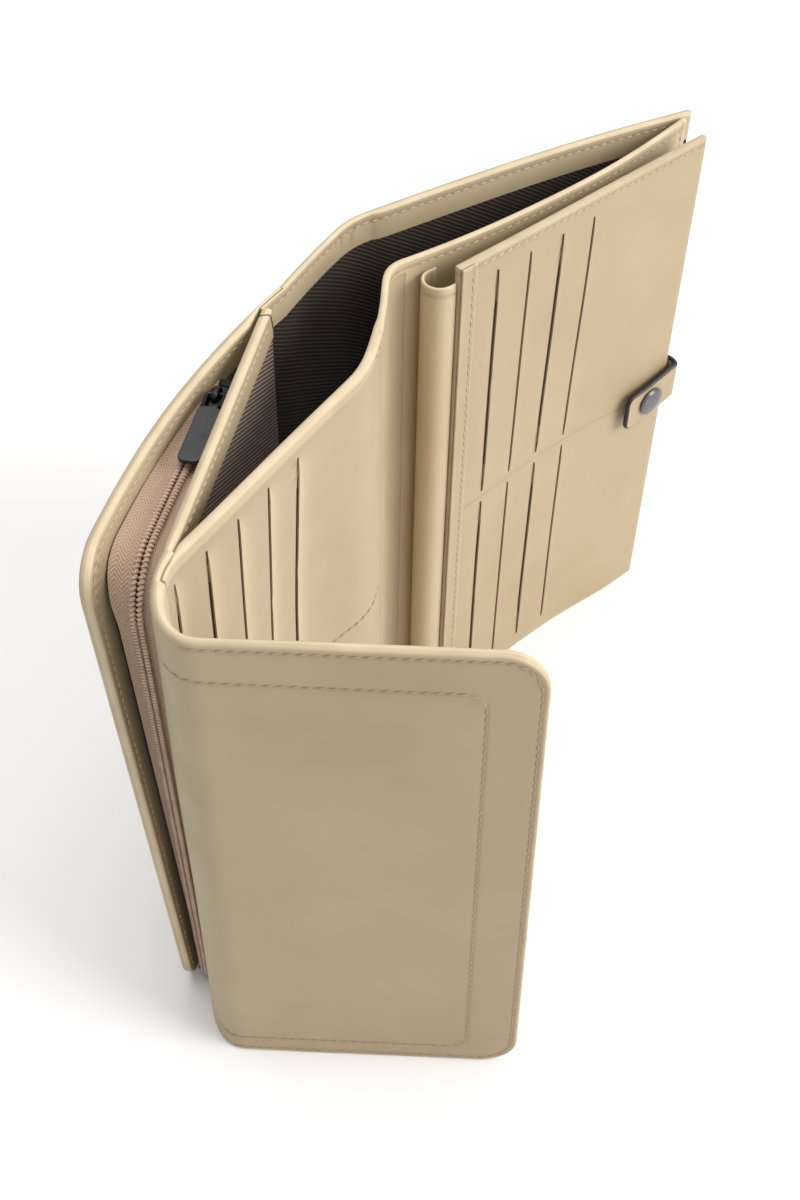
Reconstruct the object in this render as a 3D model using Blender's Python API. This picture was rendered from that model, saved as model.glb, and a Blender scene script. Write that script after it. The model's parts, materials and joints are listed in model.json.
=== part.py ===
"""Travel wallet, stood upright on a short end with its panels fanned open.

The wallet is a set of upright panels, so almost all of it is drawn in plan, as tracks that run along the
panels, and raised from the floor to the wallet's height. Every sheet is one layer of a panel: it lies between
two offsets from the panel's track, measured to the left of the track's direction. Lengths are in metres and
headings in degrees, counted from +X towards +Y. The pieces of one moving body hang on an empty at its joint.
"""
import math

import bmesh
import bpy
from mathutils import Matrix, Vector

# The whole wallet
HEIGHT = 0.190
CLEARANCE = 0.0003
SEATED_GAP = 0.0001
CURVE_STEP = 0.0060
STRAIGHT_STEP = 0.0180
FINE_STEP = 0.0022
SHORT_CURVE_STEP = 0.0011
CORNER_STEPS = 6
CORNER_END_SHARE = 0.9997
STEP_ROUNDING_SHARE = 0.000001
WELD = 0.0000003
MARKER_SIZE = 0.0100

# Leather, board and cloth
COVER_LEATHER = 0.0010
CARD_LEATHER = 0.0009
FACING_LEATHER = 0.0007
LINING = 0.0005
BOARD = 0.0005
FACING_BAND = 0.0090
BOARD_INSET = 0.0025

# Zip panel, the outer panel at the left, drawn from the cover's crease to its free edge
CREASE = Vector((-0.0340, 0.1127))
ZIP_PANEL_LENGTH = 0.1118
ZIP_PANEL_HEADING = 236.7
ZIP_PANEL_TURN = 27.0
ZIP_PANEL_CORNER = 0.0120
ZIP_PANEL_TOP_LEAN = -0.0019
ZIP_PANEL_TOP_LEAN_POWER = 5.0
ZIP_PANEL_BASE_LEAN = 0.0076
ZIP_PANEL_BASE_LEAN_POWER = 1.5
ZIP_PANEL_ROW_STEPS = 8
ZIP_PANEL_LINING_START = 0.0175

# Cover between the crease and the back panel, and the back panel to the far end
SPINE_FLANK = 0.0300
SPINE_FLANK_TURN = -5.0
SPINE_BEND = 0.0130
SPINE_BEND_TURN = -27.0
SPINE_HEADING = 65.0
BACK_LENGTH = 0.1118
BACK_HEADING = 34.5
BACK_TURN = -7.6
BACK_INNER_END_INSET = 0.0035

# Divider between the zip pocket and the bill compartment, drawn from the front fold to its tip at the crease
DIVIDER_TIP_FROM_CREASE = Vector((-0.00265, -0.0104))
DIVIDER_LENGTH = 0.0925
DIVIDER_HEADING = 79.5
DIVIDER_LINING_START = 0.0140

# Card panel, drawn from the front fold towards the inner corner
CARD_START_FROM_DIVIDER = Vector((0.0001, -0.0053))
CARD_HEADING = 87.6
CARD_LEAD = 0.0090
CARD_LEAD_TURN = -29.4
CARD_STRAIGHT = 0.0710
CARD_BEND = 0.0120
CARD_BEND_TURN = 20.0
CARD_END = 0.0140
CARD_END_TURN = 5.0
CARD_BACK_START = 0.0220
CARD_HINGE_AT = 0.0055
CARD_SLIT_FIRST = 0.0055
CARD_SLIT_PITCH = 0.0125
CARD_SLIT_COUNT = 5

# Document panel behind the leaf, drawn from the inner corner to the far end
DOCUMENT_LENGTH = 0.1132
DOCUMENT_HEADING = 41.5
DOCUMENT_TURN = 18.0

# Rolled gusset that carries the leaf, and the leaf
ROLL_AT = 0.0095
ROLL_RADIUS = 0.0046
ROLL_TAIL = 0.0020
ROLL_LEATHER = 0.0010
ROLL_END_INSET = 0.0050
LEAF_LENGTH = 0.1010
LEAF_HEADING = 42.4
LEAF_SLIT_FROM_FREE_EDGE = 0.0478
LEAF_SLIT_PITCH = 0.0129
LEAF_SLIT_COUNT = 4
LEAF_BINDING_WIDTH = 0.0055
LEAF_BINDING_LEATHER = 0.0007

# Card slits, in a lower and an upper row
SLIT_WIDTH = 0.0008
SLIT_END_INSET = 0.0068
SLIT_ROW_GAP = 0.0046

# Front fold and flap
FOLD_CENTRE_FROM_DIVIDER = Vector((0.0106, -0.0111))
FOLD_RADIUS = 0.0110
FLAP_HEADING = -1.5
FLAP_LENGTH = 0.0810
FLAP_TAPER = 0.0045
FLAP_CORNER = 0.0120
FLAP_POCKET_TOP_INSET = 0.0110
FLAP_POCKET_BASE_INSET = 0.0060
FLAP_POCKET_FREE_INSET = 0.0130
FLAP_POCKET_CORNER = 0.0060
FOLD_HANDLE_SHARE = 0.39
CORNER_HANDLE_SHARES = (0.62, 0.30)

# Strap and press stud on the leaf's free edge
STRAP_WIDTH = 0.0140
STRAP_LEATHER = 0.0018
STRAP_REACH = 0.0220
STRAP_HINGE_OUT = 0.0012
STRAP_CORNER = 0.0030
STRAP_BACK_REACH = 0.0160
STRAP_BEND_HANDLE_SHARES = (0.42, 0.42)
STRAP_HEIGHT = 0.0938
STUD_FROM_EDGE = 0.0110
STUD_CAP_RADIUS = 0.0051
STUD_CAP_HEIGHT = 0.0016
STUD_POST_RADIUS = 0.0018
STUD_POST_HEIGHT = 0.0011
STUD_RING_RADIUS = 0.0042
STUD_RING_HEIGHT = 0.0013
STUD_SIDES = 32
STUD_DOME_STEPS = 4
STRAP_BEND_STEP = 0.0006

# Zip: tapes and chain run along the pocket's top, round its corner and down its free edge
ZIP_START = 0.0340
ZIP_TOP_INSET = 0.0070
ZIP_FREE_INSET = 0.0060
ZIP_CORNER = 0.0130
ZIP_BASE_INSET = 0.0060
ZIP_FROM_DIVIDER_SHARE = 0.39
TAPE_THICKNESS = 0.0006
CHAIN_WIDTH = 0.0019
CHAIN_HEIGHT = 0.0013
CHAIN_SPLIT = 0.0003
TAPE_UNDER_CHAIN_SHARE = 0.65
STOP_LENGTH = 0.0020
SLIDER_AT = 0.0430
SLIDER_LENGTH = 0.0085
SLIDER_WIDTH = 0.0050
SLIDER_PLATE = 0.0009
SLIDER_WEB_LENGTH = 0.0022
SLIDER_WEB_WIDTH = 0.0009
BRIDGE_LENGTH = 0.0052
BRIDGE_HEIGHT = 0.0026
BRIDGE_WIDTH = 0.0016
BRIDGE_WALL = 0.0009
BAIL_WIRE = 0.0006
BAIL_SIDES = 8
BAIL_WIDTH = 0.0044
BAIL_LENGTH = 0.0052
PULL_LENGTH = 0.0200
PULL_WIDTH = 0.0058
PULL_THICKNESS = 0.0013
PULL_CORNER = 0.0016

# Cloth floors of the compartments, and how far they reach along the walls
FLOOR_HEIGHT = 0.0015
FLOOR_THICKNESS = 0.0007
FLOOR_MARGIN = 0.0008
FLOOR_DIVIDER_START = 0.0280
FLOOR_CARD_START = 0.0350
FLOOR_FAR_GAP = 0.0160
FLOOR_CORNER_GAP = 0.0030

# Where the wing turns: the middle of the cover's loose spine
WING_AXIS = Vector((-0.0141, 0.1279))


def smooth_turn(heading, degrees, length, step):
    """Yield the moves of an arc of the given length that turns by the given angle."""
    count = max(1, math.ceil(length / step))
    for index in range(count):
        share = (index + 0.5) / count
        yield length / count, heading + degrees * share


def direction(heading):
    """Unit vector of a heading."""
    angle = math.radians(heading)
    return Vector((math.cos(angle), math.sin(angle)))


class Track:
    """A line in plan with a length along it and a left-hand normal at each place."""

    def __init__(self, points):
        self.points = points
        self.marks = [0.0]
        for before, after in zip(points, points[1:]):
            self.marks.append(self.marks[-1] + (after - before).length)
        self.length = self.marks[-1]

    @classmethod
    def drawn(cls, start, heading, pieces, step=CURVE_STEP):
        """Track from a start, a heading and pieces of (length, turn)."""
        points = [start.copy()]
        for length, turn in pieces:
            for move, towards in smooth_turn(heading, turn, length, step):
                points.append(points[-1] + direction(towards) * move)
            heading += turn
        return cls(points)

    @classmethod
    def joining(cls, start, start_heading, end, end_heading, handles, step):
        """Track along one cubic curve between two places, leaving and arriving at the given headings."""
        span = (end - start).length
        first = start + direction(start_heading) * span * handles[0]
        second = end - direction(end_heading) * span * handles[1]
        count = max(4, math.ceil(span / step))
        points = []
        for index in range(count + 1):
            t = index / count
            rest = 1 - t
            point = start * rest ** 3 + first * 3 * rest ** 2 * t + second * 3 * rest * t ** 2 + end * t ** 3
            points.append(point)
        return cls(points)

    def heading(self, along):
        """Heading of the track at a length along it."""
        centres = [(a + b) / 2 for a, b in zip(self.marks, self.marks[1:])]
        angles = [math.degrees(math.atan2(b.y - a.y, b.x - a.x)) for a, b in zip(self.points, self.points[1:])]
        for index in range(1, len(angles)):
            while angles[index] - angles[index - 1] > 180:
                angles[index] -= 360
            while angles[index] - angles[index - 1] < -180:
                angles[index] += 360
        if along <= centres[0]:
            return angles[0]
        for index in range(1, len(centres)):
            if along <= centres[index]:
                share = (along - centres[index - 1]) / (centres[index] - centres[index - 1])
                return angles[index - 1] + (angles[index] - angles[index - 1]) * share
        return angles[-1]

    def at(self, along, offset=0.0):
        """Place at a length along the track and an offset to its left; it runs on straight past its ends."""
        index = 0
        while index < len(self.marks) - 2 and along > self.marks[index + 1]:
            index += 1
        a, b = self.points[index], self.points[index + 1]
        point = a + (b - a).normalized() * (along - self.marks[index])
        return point + direction(self.heading(along) + 90) * offset


def layers(anchor, *thicknesses):
    """Offsets (low, high) of sheets laid side by side, a clearance apart, from the anchor to the left."""
    found = []
    for thickness in thicknesses:
        found.append((anchor, anchor + thickness))
        anchor += thickness + CLEARANCE
    return found


def stack(*thicknesses):
    """Offsets of a stack that is centred on its track, from its right side to its left."""
    total = sum(thicknesses) + CLEARANCE * (len(thicknesses) - 1)
    return layers(-total / 2, *thicknesses)


def spread(start, end, step):
    """Even places from start to end, at most one step apart."""
    count = max(1, math.ceil((end - start) / step - STEP_ROUNDING_SHARE))
    return [start + (end - start) * index / count for index in range(count + 1)]


def material(name, colour, roughness, metallic=0.0):
    """One Principled material for each finish."""
    found = bpy.data.materials.get(name)
    if found:
        return found
    made = bpy.data.materials.new(name)
    made.use_nodes = True
    shader = made.node_tree.nodes["Principled BSDF"]
    shader.inputs["Base Color"].default_value = (*colour, 1.0)
    shader.inputs["Roughness"].default_value = roughness
    shader.inputs["Metallic"].default_value = metallic
    made.diffuse_color = (*colour, 1.0)
    return made


def finishes():
    """The wallet's materials by the name of what they are."""
    return {
        "cover_leather": material("cover_leather", (0.66, 0.54, 0.36), 0.52),
        "inner_leather": material("inner_leather", (0.62, 0.50, 0.33), 0.56),
        "leaf_leather": material("leaf_leather", (0.56, 0.44, 0.29), 0.55),
        "twill_lining": material("twill_lining", (0.045, 0.032, 0.024), 0.85),
        "stiff_board": material("stiff_board", (0.42, 0.36, 0.28), 0.90),
        "zip_tape": material("zip_tape", (0.52, 0.36, 0.25), 0.85),
        "zip_chain": material("zip_chain", (0.45, 0.30, 0.21), 0.45),
        "dark_metal": material("dark_metal", (0.060, 0.058, 0.056), 0.35, 1.0),
        "nickel": material("nickel", (0.28, 0.27, 0.25), 0.28, 1.0),
        "strap_leather": material("strap_leather", (0.60, 0.48, 0.32), 0.50),
    }


class Body:
    """The pieces that move as one, on an empty at their joint's axis."""

    def __init__(self, name, axis=Vector((0.0, 0.0, 0.0)), parent=None):
        self.name = name
        self.axis = axis
        self.empty = bpy.data.objects.new(name + "_axis", None)
        self.empty.empty_display_size = MARKER_SIZE
        bpy.context.collection.objects.link(self.empty)
        if parent:
            self.empty.parent = parent.empty
            self.empty.location = axis - parent.axis
        else:
            self.empty.location = axis

    def add(self, name, mesh, finish, smooth_angle=None):
        """Hang a mesh, drawn in plan coordinates, on this body."""
        mesh.transform(Matrix.Translation(-self.axis))
        mesh.materials.append(finish)
        if smooth_angle:
            mesh.shade_smooth()
            mesh.set_sharp_from_angle(angle=math.radians(smooth_angle))
        thing = bpy.data.objects.new(name, mesh)
        bpy.context.collection.objects.link(thing)
        thing.parent = self.empty
        return thing


def mesh_from(name, vertices, faces):
    """Closed mesh with its faces turned out."""
    mesh = bpy.data.meshes.new(name)
    mesh.from_pydata([tuple(vertex) for vertex in vertices], [], faces)
    shape = bmesh.new()
    shape.from_mesh(mesh)
    bmesh.ops.remove_doubles(shape, verts=shape.verts, dist=WELD)
    bmesh.ops.recalc_face_normals(shape, faces=shape.faces)
    shape.to_mesh(mesh)
    shape.free()
    return mesh


def sheet_mesh(name, place, columns, rows, cut=None):
    """Sheet over a grid of columns and rows, between two faces.

    place gives the point of a column, a row's height and a face, rows gives the heights in a column, and cut
    says which cells are left open.
    """
    heights = [rows(column) for column in columns]
    row_count = len(heights[0])
    keep = {}
    for i in range(len(columns) - 1):
        for j in range(row_count - 1):
            middle = (columns[i] + columns[i + 1]) / 2
            keep[i, j] = not (cut and cut(middle, j))
    numbers = {}
    vertices = []
    faces = []

    def corner(i, j, face):
        key = (i, j, face)
        if key not in numbers:
            numbers[key] = len(vertices)
            vertices.append(place(columns[i], heights[i][j], face))
        return numbers[key]

    for (i, j), kept in keep.items():
        if not kept:
            continue
        ring = [(i, j), (i + 1, j), (i + 1, j + 1), (i, j + 1)]
        faces.append([corner(*place_key, 0) for place_key in reversed(ring)])
        faces.append([corner(*place_key, 1) for place_key in ring])
        sides = [((i, j - 1), ring[0], ring[1]), ((i + 1, j), ring[1], ring[2])]
        sides += [((i, j + 1), ring[2], ring[3]), ((i - 1, j), ring[3], ring[0])]
        for neighbour, start, end in sides:
            if not keep.get(neighbour, False):
                faces.append([corner(*start, 0), corner(*end, 0), corner(*end, 1), corner(*start, 1)])
    return mesh_from(name, vertices, faces)


def straight_rows(low, high):
    """Rows of a sheet with level edges."""
    return lambda along: [low, high]


def rounded_rows(low, high, free_edge, radius):
    """Rows of a sheet whose two corners at the free edge are rounded."""

    def rows(along):
        past = max(0.0, along - (free_edge - radius))
        drop = radius - math.sqrt(max(0.0, radius ** 2 - min(past, radius) ** 2))
        return [low + drop, high - drop]

    return rows


def rounded_columns(start, free_edge, radius, step=CURVE_STEP):
    """Columns of such a sheet, closer together round the corner."""
    columns = spread(start, free_edge - radius, step)
    for index in range(1, CORNER_STEPS + 1):
        angle = math.pi / 2 * index / CORNER_STEPS
        columns.append(free_edge - radius + radius * math.sin(angle) * CORNER_END_SHARE)
    return columns


def layer_mesh(name, track, offsets, columns, rows, cut=None):
    """One layer of a panel, raised from its track."""

    def place(along, height, face):
        point = track.at(along, offsets[face])
        return Vector((point.x, point.y, height))

    return sheet_mesh(name, place, columns, rows, cut)


def banded_lining(body, names, track, offsets, columns, finish, base=0.0):
    """A cloth lining with a leather facing above it; the facing is thicker towards the lining's open side."""
    lining_offsets, facing_offsets = offsets
    lining_rows = straight_rows(base, HEIGHT - FACING_BAND - CLEARANCE)
    body.add(names[0], layer_mesh(names[0], track, lining_offsets, columns, lining_rows), finish["twill_lining"])
    facing_rows = straight_rows(HEIGHT - FACING_BAND, HEIGHT)
    body.add(names[1], layer_mesh(names[1], track, facing_offsets, columns, facing_rows), finish["inner_leather"])


def slit_panel(body, name, track, offsets, span, slits, finish):
    """A leather face with two rows of card slits cut through it."""
    start, end = span
    columns = []
    edges = [start]
    for slit in slits:
        edges += [slit - SLIT_WIDTH / 2, slit + SLIT_WIDTH / 2]
    edges.append(end)
    for before, after in zip(edges, edges[1:]):
        columns += spread(before, after, CURVE_STEP)[:-1]
    columns.append(end)
    middle = HEIGHT / 2
    rows = [0.0, SLIT_END_INSET, middle - SLIT_ROW_GAP / 2, middle + SLIT_ROW_GAP / 2]
    rows += [HEIGHT - SLIT_END_INSET, HEIGHT]
    slit_rows = (1, 3)

    def cut(along, row):
        return row in slit_rows and any(abs(along - slit) < SLIT_WIDTH / 2 for slit in slits)

    body.add(name, layer_mesh(name, track, offsets, columns, lambda along: rows, cut), finish)


def box_mesh(name, centre, size, turn):
    """Upright box, turned in plan by a heading."""
    shape = bmesh.new()
    bmesh.ops.create_cube(shape, size=1.0)
    turned = Matrix.Translation(centre) @ Matrix.Rotation(math.radians(turn), 4, "Z")
    matrix = turned @ Matrix.Diagonal((*size, 1.0))
    bmesh.ops.transform(shape, matrix=matrix, verts=shape.verts)
    mesh = bpy.data.meshes.new(name)
    shape.to_mesh(mesh)
    shape.free()
    return mesh


def turned_mesh(name, profile, centre, normal):
    """Round piece turned about a normal through its centre; profile points are (radius, height)."""
    turn = Vector((0.0, 0.0, 1.0)).rotation_difference(normal).to_matrix().to_4x4()
    matrix = Matrix.Translation(centre) @ turn
    sides = STUD_SIDES
    vertices = []
    rings = []
    for radius, height in profile:
        if radius == 0:
            rings.append([len(vertices)] * sides)
            vertices.append(matrix @ Vector((0.0, 0.0, height)))
            continue
        ring = []
        for index in range(sides):
            angle = 2 * math.pi * index / sides
            ring.append(len(vertices))
            vertices.append(matrix @ Vector((radius * math.cos(angle), radius * math.sin(angle), height)))
        rings.append(ring)
    faces = []
    closed = profile[0][0] != 0
    pairs = list(zip(rings, rings[1:]))
    if closed:
        pairs.append((rings[-1], rings[0]))
    for lower, upper in pairs:
        for index in range(sides):
            after = (index + 1) % sides
            face = [lower[index], lower[after], upper[after], upper[index]]
            faces.append(list(dict.fromkeys(face)))
    return mesh_from(name, vertices, faces)


def tube_mesh(name, points, radius, sides):
    """Round wire along a line of points, with flat ends."""
    vertices = []
    faces = []
    for index, point in enumerate(points):
        before = points[max(0, index - 1)]
        after = points[min(len(points) - 1, index + 1)]
        along = (after - before).normalized()
        side = along.orthogonal() if index == 0 else side - along * side.dot(along)
        side.normalize()
        other = along.cross(side)
        for corner in range(sides):
            angle = 2 * math.pi * corner / sides
            vertices.append(point + side * radius * math.cos(angle) + other * radius * math.sin(angle))
    for index in range(len(points) - 1):
        for corner in range(sides):
            after = (corner + 1) % sides
            low, high = index * sides, (index + 1) * sides
            faces.append([low + corner, low + after, high + after, high + corner])
    faces.append(list(range(sides)))
    faces.append(list(range((len(points) - 1) * sides, len(points) * sides)))
    return mesh_from(name, vertices, faces)


def prism_faces(count):
    """Faces of a prism whose vertices are one end's outline and then the other's."""
    faces = [list(range(count)), list(range(count, 2 * count))]
    for index in range(count):
        after = (index + 1) % count
        faces.append([index, after, count + after, count + index])
    return faces


def prism_mesh(name, outline, low, high):
    """Closed outline in plan, raised between two heights."""
    vertices = [Vector((point.x, point.y, height)) for height in (low, high) for point in outline]
    mesh = mesh_from(name, vertices, prism_faces(len(outline)))
    shape = bmesh.new()
    shape.from_mesh(mesh)
    bmesh.ops.triangulate(shape, faces=[face for face in shape.faces if len(face.verts) > 4])
    shape.to_mesh(mesh)
    shape.free()
    return mesh


class Plan:
    """The tracks of every panel, worked out from the driving sizes, and what follows from them."""

    def __init__(self):
        self.zip_panel = Track.drawn(CREASE, ZIP_PANEL_HEADING, ((ZIP_PANEL_LENGTH, ZIP_PANEL_TURN),))
        spine_pieces = ((SPINE_FLANK, SPINE_FLANK_TURN), (SPINE_BEND, SPINE_BEND_TURN))
        self.spine = Track.drawn(CREASE, SPINE_HEADING, spine_pieces)
        self.back = Track.drawn(self.spine.points[-1], BACK_HEADING, ((BACK_LENGTH, BACK_TURN),))
        divider_tip = CREASE + DIVIDER_TIP_FROM_CREASE
        divider_start = divider_tip - direction(DIVIDER_HEADING) * DIVIDER_LENGTH
        self.divider = Track.drawn(divider_start, DIVIDER_HEADING, ((DIVIDER_LENGTH, 0.0),))
        card_pieces = ((CARD_LEAD, CARD_LEAD_TURN), (CARD_STRAIGHT, 0.0), (CARD_BEND, CARD_BEND_TURN))
        card_pieces += ((CARD_END, CARD_END_TURN),)
        self.card = Track.drawn(divider_start + CARD_START_FROM_DIVIDER, CARD_HEADING, card_pieces)
        self.fold_centre = divider_start + FOLD_CENTRE_FROM_DIVIDER

        self.cover_layers = layers(0.0, COVER_LEATHER, BOARD, LINING)
        self.cover_facing = layers(0.0, COVER_LEATHER, BOARD, FACING_LEATHER)[2]
        self.cover_depth = self.cover_facing[1]
        self.divider_layers = stack(FACING_LEATHER, BOARD, COVER_LEATHER)
        self.card_layers = stack(CARD_LEATHER, LINING, FACING_LEATHER)
        self.document_layers = stack(CARD_LEATHER, FACING_LEATHER)
        self.flap_layers = stack(COVER_LEATHER, BOARD, FACING_LEATHER, LINING)
        self.leaf_layers = stack(CARD_LEATHER, LINING, FACING_LEATHER)
        self.zip_levels = layers(0.0, TAPE_THICKNESS, CHAIN_HEIGHT, SLIDER_PLATE)

        strap_face = self.leaf_layers[0][0] - CLEARANCE - STUD_RING_HEIGHT
        self.strap_tab = (strap_face - STRAP_LEATHER, strap_face)
        self.strap_anchor = layers(self.leaf_layers[-1][1] + CLEARANCE, STRAP_LEATHER)[0]

        self.document = self.document_track()
        self.corner = self.corner_track()
        self.roll = self.roll_track()
        roll_end = self.roll.at(self.roll.length + CLEARANCE)
        self.leaf = Track.drawn(roll_end, LEAF_HEADING, ((LEAF_LENGTH, 0.0),))
        self.flap = Track.drawn(self.flap_start(), FLAP_HEADING, ((FLAP_LENGTH, 0.0),))

    def document_track(self):
        """The document panel ends against the back panel's inner face and starts at the inner corner."""
        half = self.document_layers[-1][1]
        seat = self.back.at(BACK_LENGTH - BACK_INNER_END_INSET, -(self.cover_depth + CLEARANCE + half))
        start_heading = DOCUMENT_HEADING - DOCUMENT_TURN / 2
        trial = Track.drawn(seat, start_heading, ((DOCUMENT_LENGTH, DOCUMENT_TURN),))
        start = seat - (trial.points[-1] - seat)
        return Track.drawn(start, start_heading, ((DOCUMENT_LENGTH, DOCUMENT_TURN),))

    def corner_track(self):
        """The loose strip at the inner corner runs from the card panel's end to the document panel's start."""
        start = self.card.points[-1]
        end = self.document.points[0]
        headings = (self.card.heading(self.card.length), self.document.heading(0.0))
        return Track.joining(start, headings[0], end, headings[1], CORNER_HANDLE_SHARES, FINE_STEP)

    def roll_track(self):
        """The rolled gusset starts on the document panel's face, turns round and meets the leaf's edge."""
        face = self.document_layers[0][0] - CLEARANCE - ROLL_LEATHER / 2
        start = self.document.at(ROLL_AT, face)
        start_heading = self.document.heading(ROLL_AT) + 180
        turn = LEAF_HEADING + 360 - start_heading
        bend = math.radians(turn) * ROLL_RADIUS
        pieces = ((ROLL_TAIL, 0.0), (bend, turn), (ROLL_TAIL, 0.0))
        return Track.drawn(start, start_heading, pieces, SHORT_CURVE_STEP)

    def flap_start(self):
        """The flap leaves the front fold at its lowest point."""
        return self.fold_centre + direction(FLAP_HEADING - 90) * FOLD_RADIUS

    def zip_panel_at(self, along, offset, height):
        """Place on the zip panel: its free edge leans out at the top and in at the base."""
        share = along / ZIP_PANEL_LENGTH
        rise = height / HEIGHT
        lean = ZIP_PANEL_TOP_LEAN * rise * share ** ZIP_PANEL_TOP_LEAN_POWER
        lean += ZIP_PANEL_BASE_LEAN * (1.0 - rise) * share ** ZIP_PANEL_BASE_LEAN_POWER
        point = self.zip_panel.at(along, offset)
        return Vector((point.x + lean, point.y))

    def pocket_sides(self, along, height):
        """The two faces of the zip pocket at a length along the zip panel, from the panel to the divider."""
        outer = self.zip_panel_at(along, self.cover_depth + CLEARANCE, height)
        gone = along - DIVIDER_TIP_FROM_CREASE.length
        inner = self.divider.at(DIVIDER_LENGTH - gone, self.divider_layers[-1][1] + CLEARANCE)
        return outer, inner

    def pocket_place(self, along, across, height):
        """Place in the zip pocket's mouth; across counts from the zip's line towards the divider."""
        outer, inner = self.pocket_sides(along, height)
        line = inner + (outer - inner) * ZIP_FROM_DIVIDER_SHARE
        point = line + (inner - outer).normalized() * across
        return Vector((point.x, point.y, height))

    def pocket_edges(self, along, height):
        """The pocket's two walls, as places across from the zip's line."""
        outer, inner = self.pocket_sides(along, height)
        width = (inner - outer).length
        near_divider = width * ZIP_FROM_DIVIDER_SHARE
        return near_divider - width, near_divider


def zip_path():
    """Line of the zip as (length along the pocket, height, normal) from its start to the base."""
    top = HEIGHT - ZIP_TOP_INSET
    free = ZIP_PANEL_LENGTH - ZIP_FREE_INSET
    path = []
    for along in spread(ZIP_START, free - ZIP_CORNER, CURVE_STEP):
        path.append((along, top, 90.0))
    for index in range(1, CORNER_STEPS):
        angle = 90.0 - 90.0 * index / CORNER_STEPS
        turned = math.radians(angle)
        along = free - ZIP_CORNER + ZIP_CORNER * math.cos(turned)
        path.append((along, top - ZIP_CORNER + ZIP_CORNER * math.sin(turned), angle))
    for height in reversed(spread(ZIP_BASE_INSET, top - ZIP_CORNER, STRAIGHT_STEP)):
        path.append((free, height, 0.0))
    return path


def zip_ribbon(plan, name, path, levels, edges):
    """A ribbon along the zip, between two levels above the tape's underside and two edges across."""
    vertices = []
    faces = []
    for along, height, normal in path:
        turned = math.radians(normal)
        edge_values = edges(along, height)
        for level in levels:
            for across in edge_values:
                shifted = along + level * math.cos(turned)
                vertices.append(plan.pocket_place(shifted, across, height + level * math.sin(turned)))
    for index in range(len(path) - 1):
        low_ring = [4 * index + k for k in (0, 1, 3, 2)]
        high_ring = [4 * index + 4 + k for k in (0, 1, 3, 2)]
        for k in range(4):
            after = (k + 1) % 4
            faces.append([low_ring[k], low_ring[after], high_ring[after], high_ring[k]])
    faces.append([0, 1, 3, 2])
    last = 4 * (len(path) - 1)
    faces.append([last, last + 1, last + 3, last + 2])
    return mesh_from(name, vertices, faces)


def joined(thing, *others):
    """Unite boxes into one solid with Boolean modifiers; the others become guides that aren't built."""
    for other in others:
        other.hide_render = True
        other.display_type = "WIRE"
        union = thing.modifiers.new("join_" + other.name, "BOOLEAN")
        union.operation = "UNION"
        union.solver = "EXACT"
        union.object = other
    return thing


def laddered(rows, first, count):
    """The same rows, with even steps between one of them and the next."""

    def stepped(along):
        found = rows(along)
        low, high = found[first:first + 2]
        steps = [low + (high - low) * index / count for index in range(1, count)]
        return found[:first + 1] + steps + found[first + 1:]

    return stepped


def zip_panel_mesh(name, plan, offsets, columns, rows, cut=None):
    """A sheet of the zip panel."""

    def place(along, height, face):
        point = plan.zip_panel_at(along, offsets[face], height)
        return Vector((point.x, point.y, height))

    return sheet_mesh(name, place, columns, rows, cut)


def build_zip_panel(plan, body, finish):
    """Outer panel of the zip pocket: leather with rounded corners, board, lining and a leather facing."""
    leather, board, lining = plan.cover_layers
    steps = ZIP_PANEL_ROW_STEPS
    outer_columns = rounded_columns(CLEARANCE, ZIP_PANEL_LENGTH, ZIP_PANEL_CORNER)
    outer_rows = rounded_rows(0.0, HEIGHT, ZIP_PANEL_LENGTH, ZIP_PANEL_CORNER)
    mesh = zip_panel_mesh("zip_panel_leather", plan, leather, outer_columns, laddered(outer_rows, 0, steps))
    body.add("zip_panel_leather", mesh, finish["cover_leather"])

    board_free = ZIP_PANEL_LENGTH - BOARD_INSET
    board_corner = ZIP_PANEL_CORNER - BOARD_INSET
    columns = rounded_columns(ZIP_PANEL_LINING_START, board_free, board_corner)
    rows = rounded_rows(BOARD_INSET, HEIGHT - BOARD_INSET, board_free, board_corner)
    mesh = zip_panel_mesh("zip_panel_board", plan, board, columns, laddered(rows, 0, steps))
    body.add("zip_panel_board", mesh, finish["stiff_board"])

    inner_free = ZIP_PANEL_LENGTH - FACING_BAND
    inner_corner = ZIP_PANEL_CORNER - FACING_BAND / 2
    lining_end = inner_free - CLEARANCE
    columns = rounded_columns(ZIP_PANEL_LINING_START, lining_end, inner_corner)
    top = HEIGHT - FACING_BAND - CLEARANCE
    rows = rounded_rows(FACING_BAND + CLEARANCE, top, lining_end, inner_corner)
    mesh = zip_panel_mesh("zip_panel_lining", plan, lining, columns, laddered(rows, 0, steps))
    body.add("zip_panel_lining", mesh, finish["twill_lining"])

    inner_rows = rounded_rows(FACING_BAND, HEIGHT - FACING_BAND, inner_free, inner_corner)
    columns = rounded_columns(ZIP_PANEL_LINING_START, inner_free, inner_corner)
    columns += spread(inner_free, ZIP_PANEL_LENGTH, SHORT_CURVE_STEP)[1:-1]
    columns.append(outer_columns[-1])

    def facing_rows(along):
        low, high = outer_rows(along)
        inner_low, inner_high = inner_rows(min(along, inner_free))
        return [low, max(low, inner_low) + CLEARANCE, min(high, inner_high) - CLEARANCE, high]

    def window(along, row):
        return 1 <= row <= steps and along < inner_free

    facing = plan.cover_facing
    rows = laddered(facing_rows, 1, steps)
    mesh = zip_panel_mesh("zip_panel_facing", plan, facing, columns, rows, window)
    body.add("zip_panel_facing", mesh, finish["inner_leather"])


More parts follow.
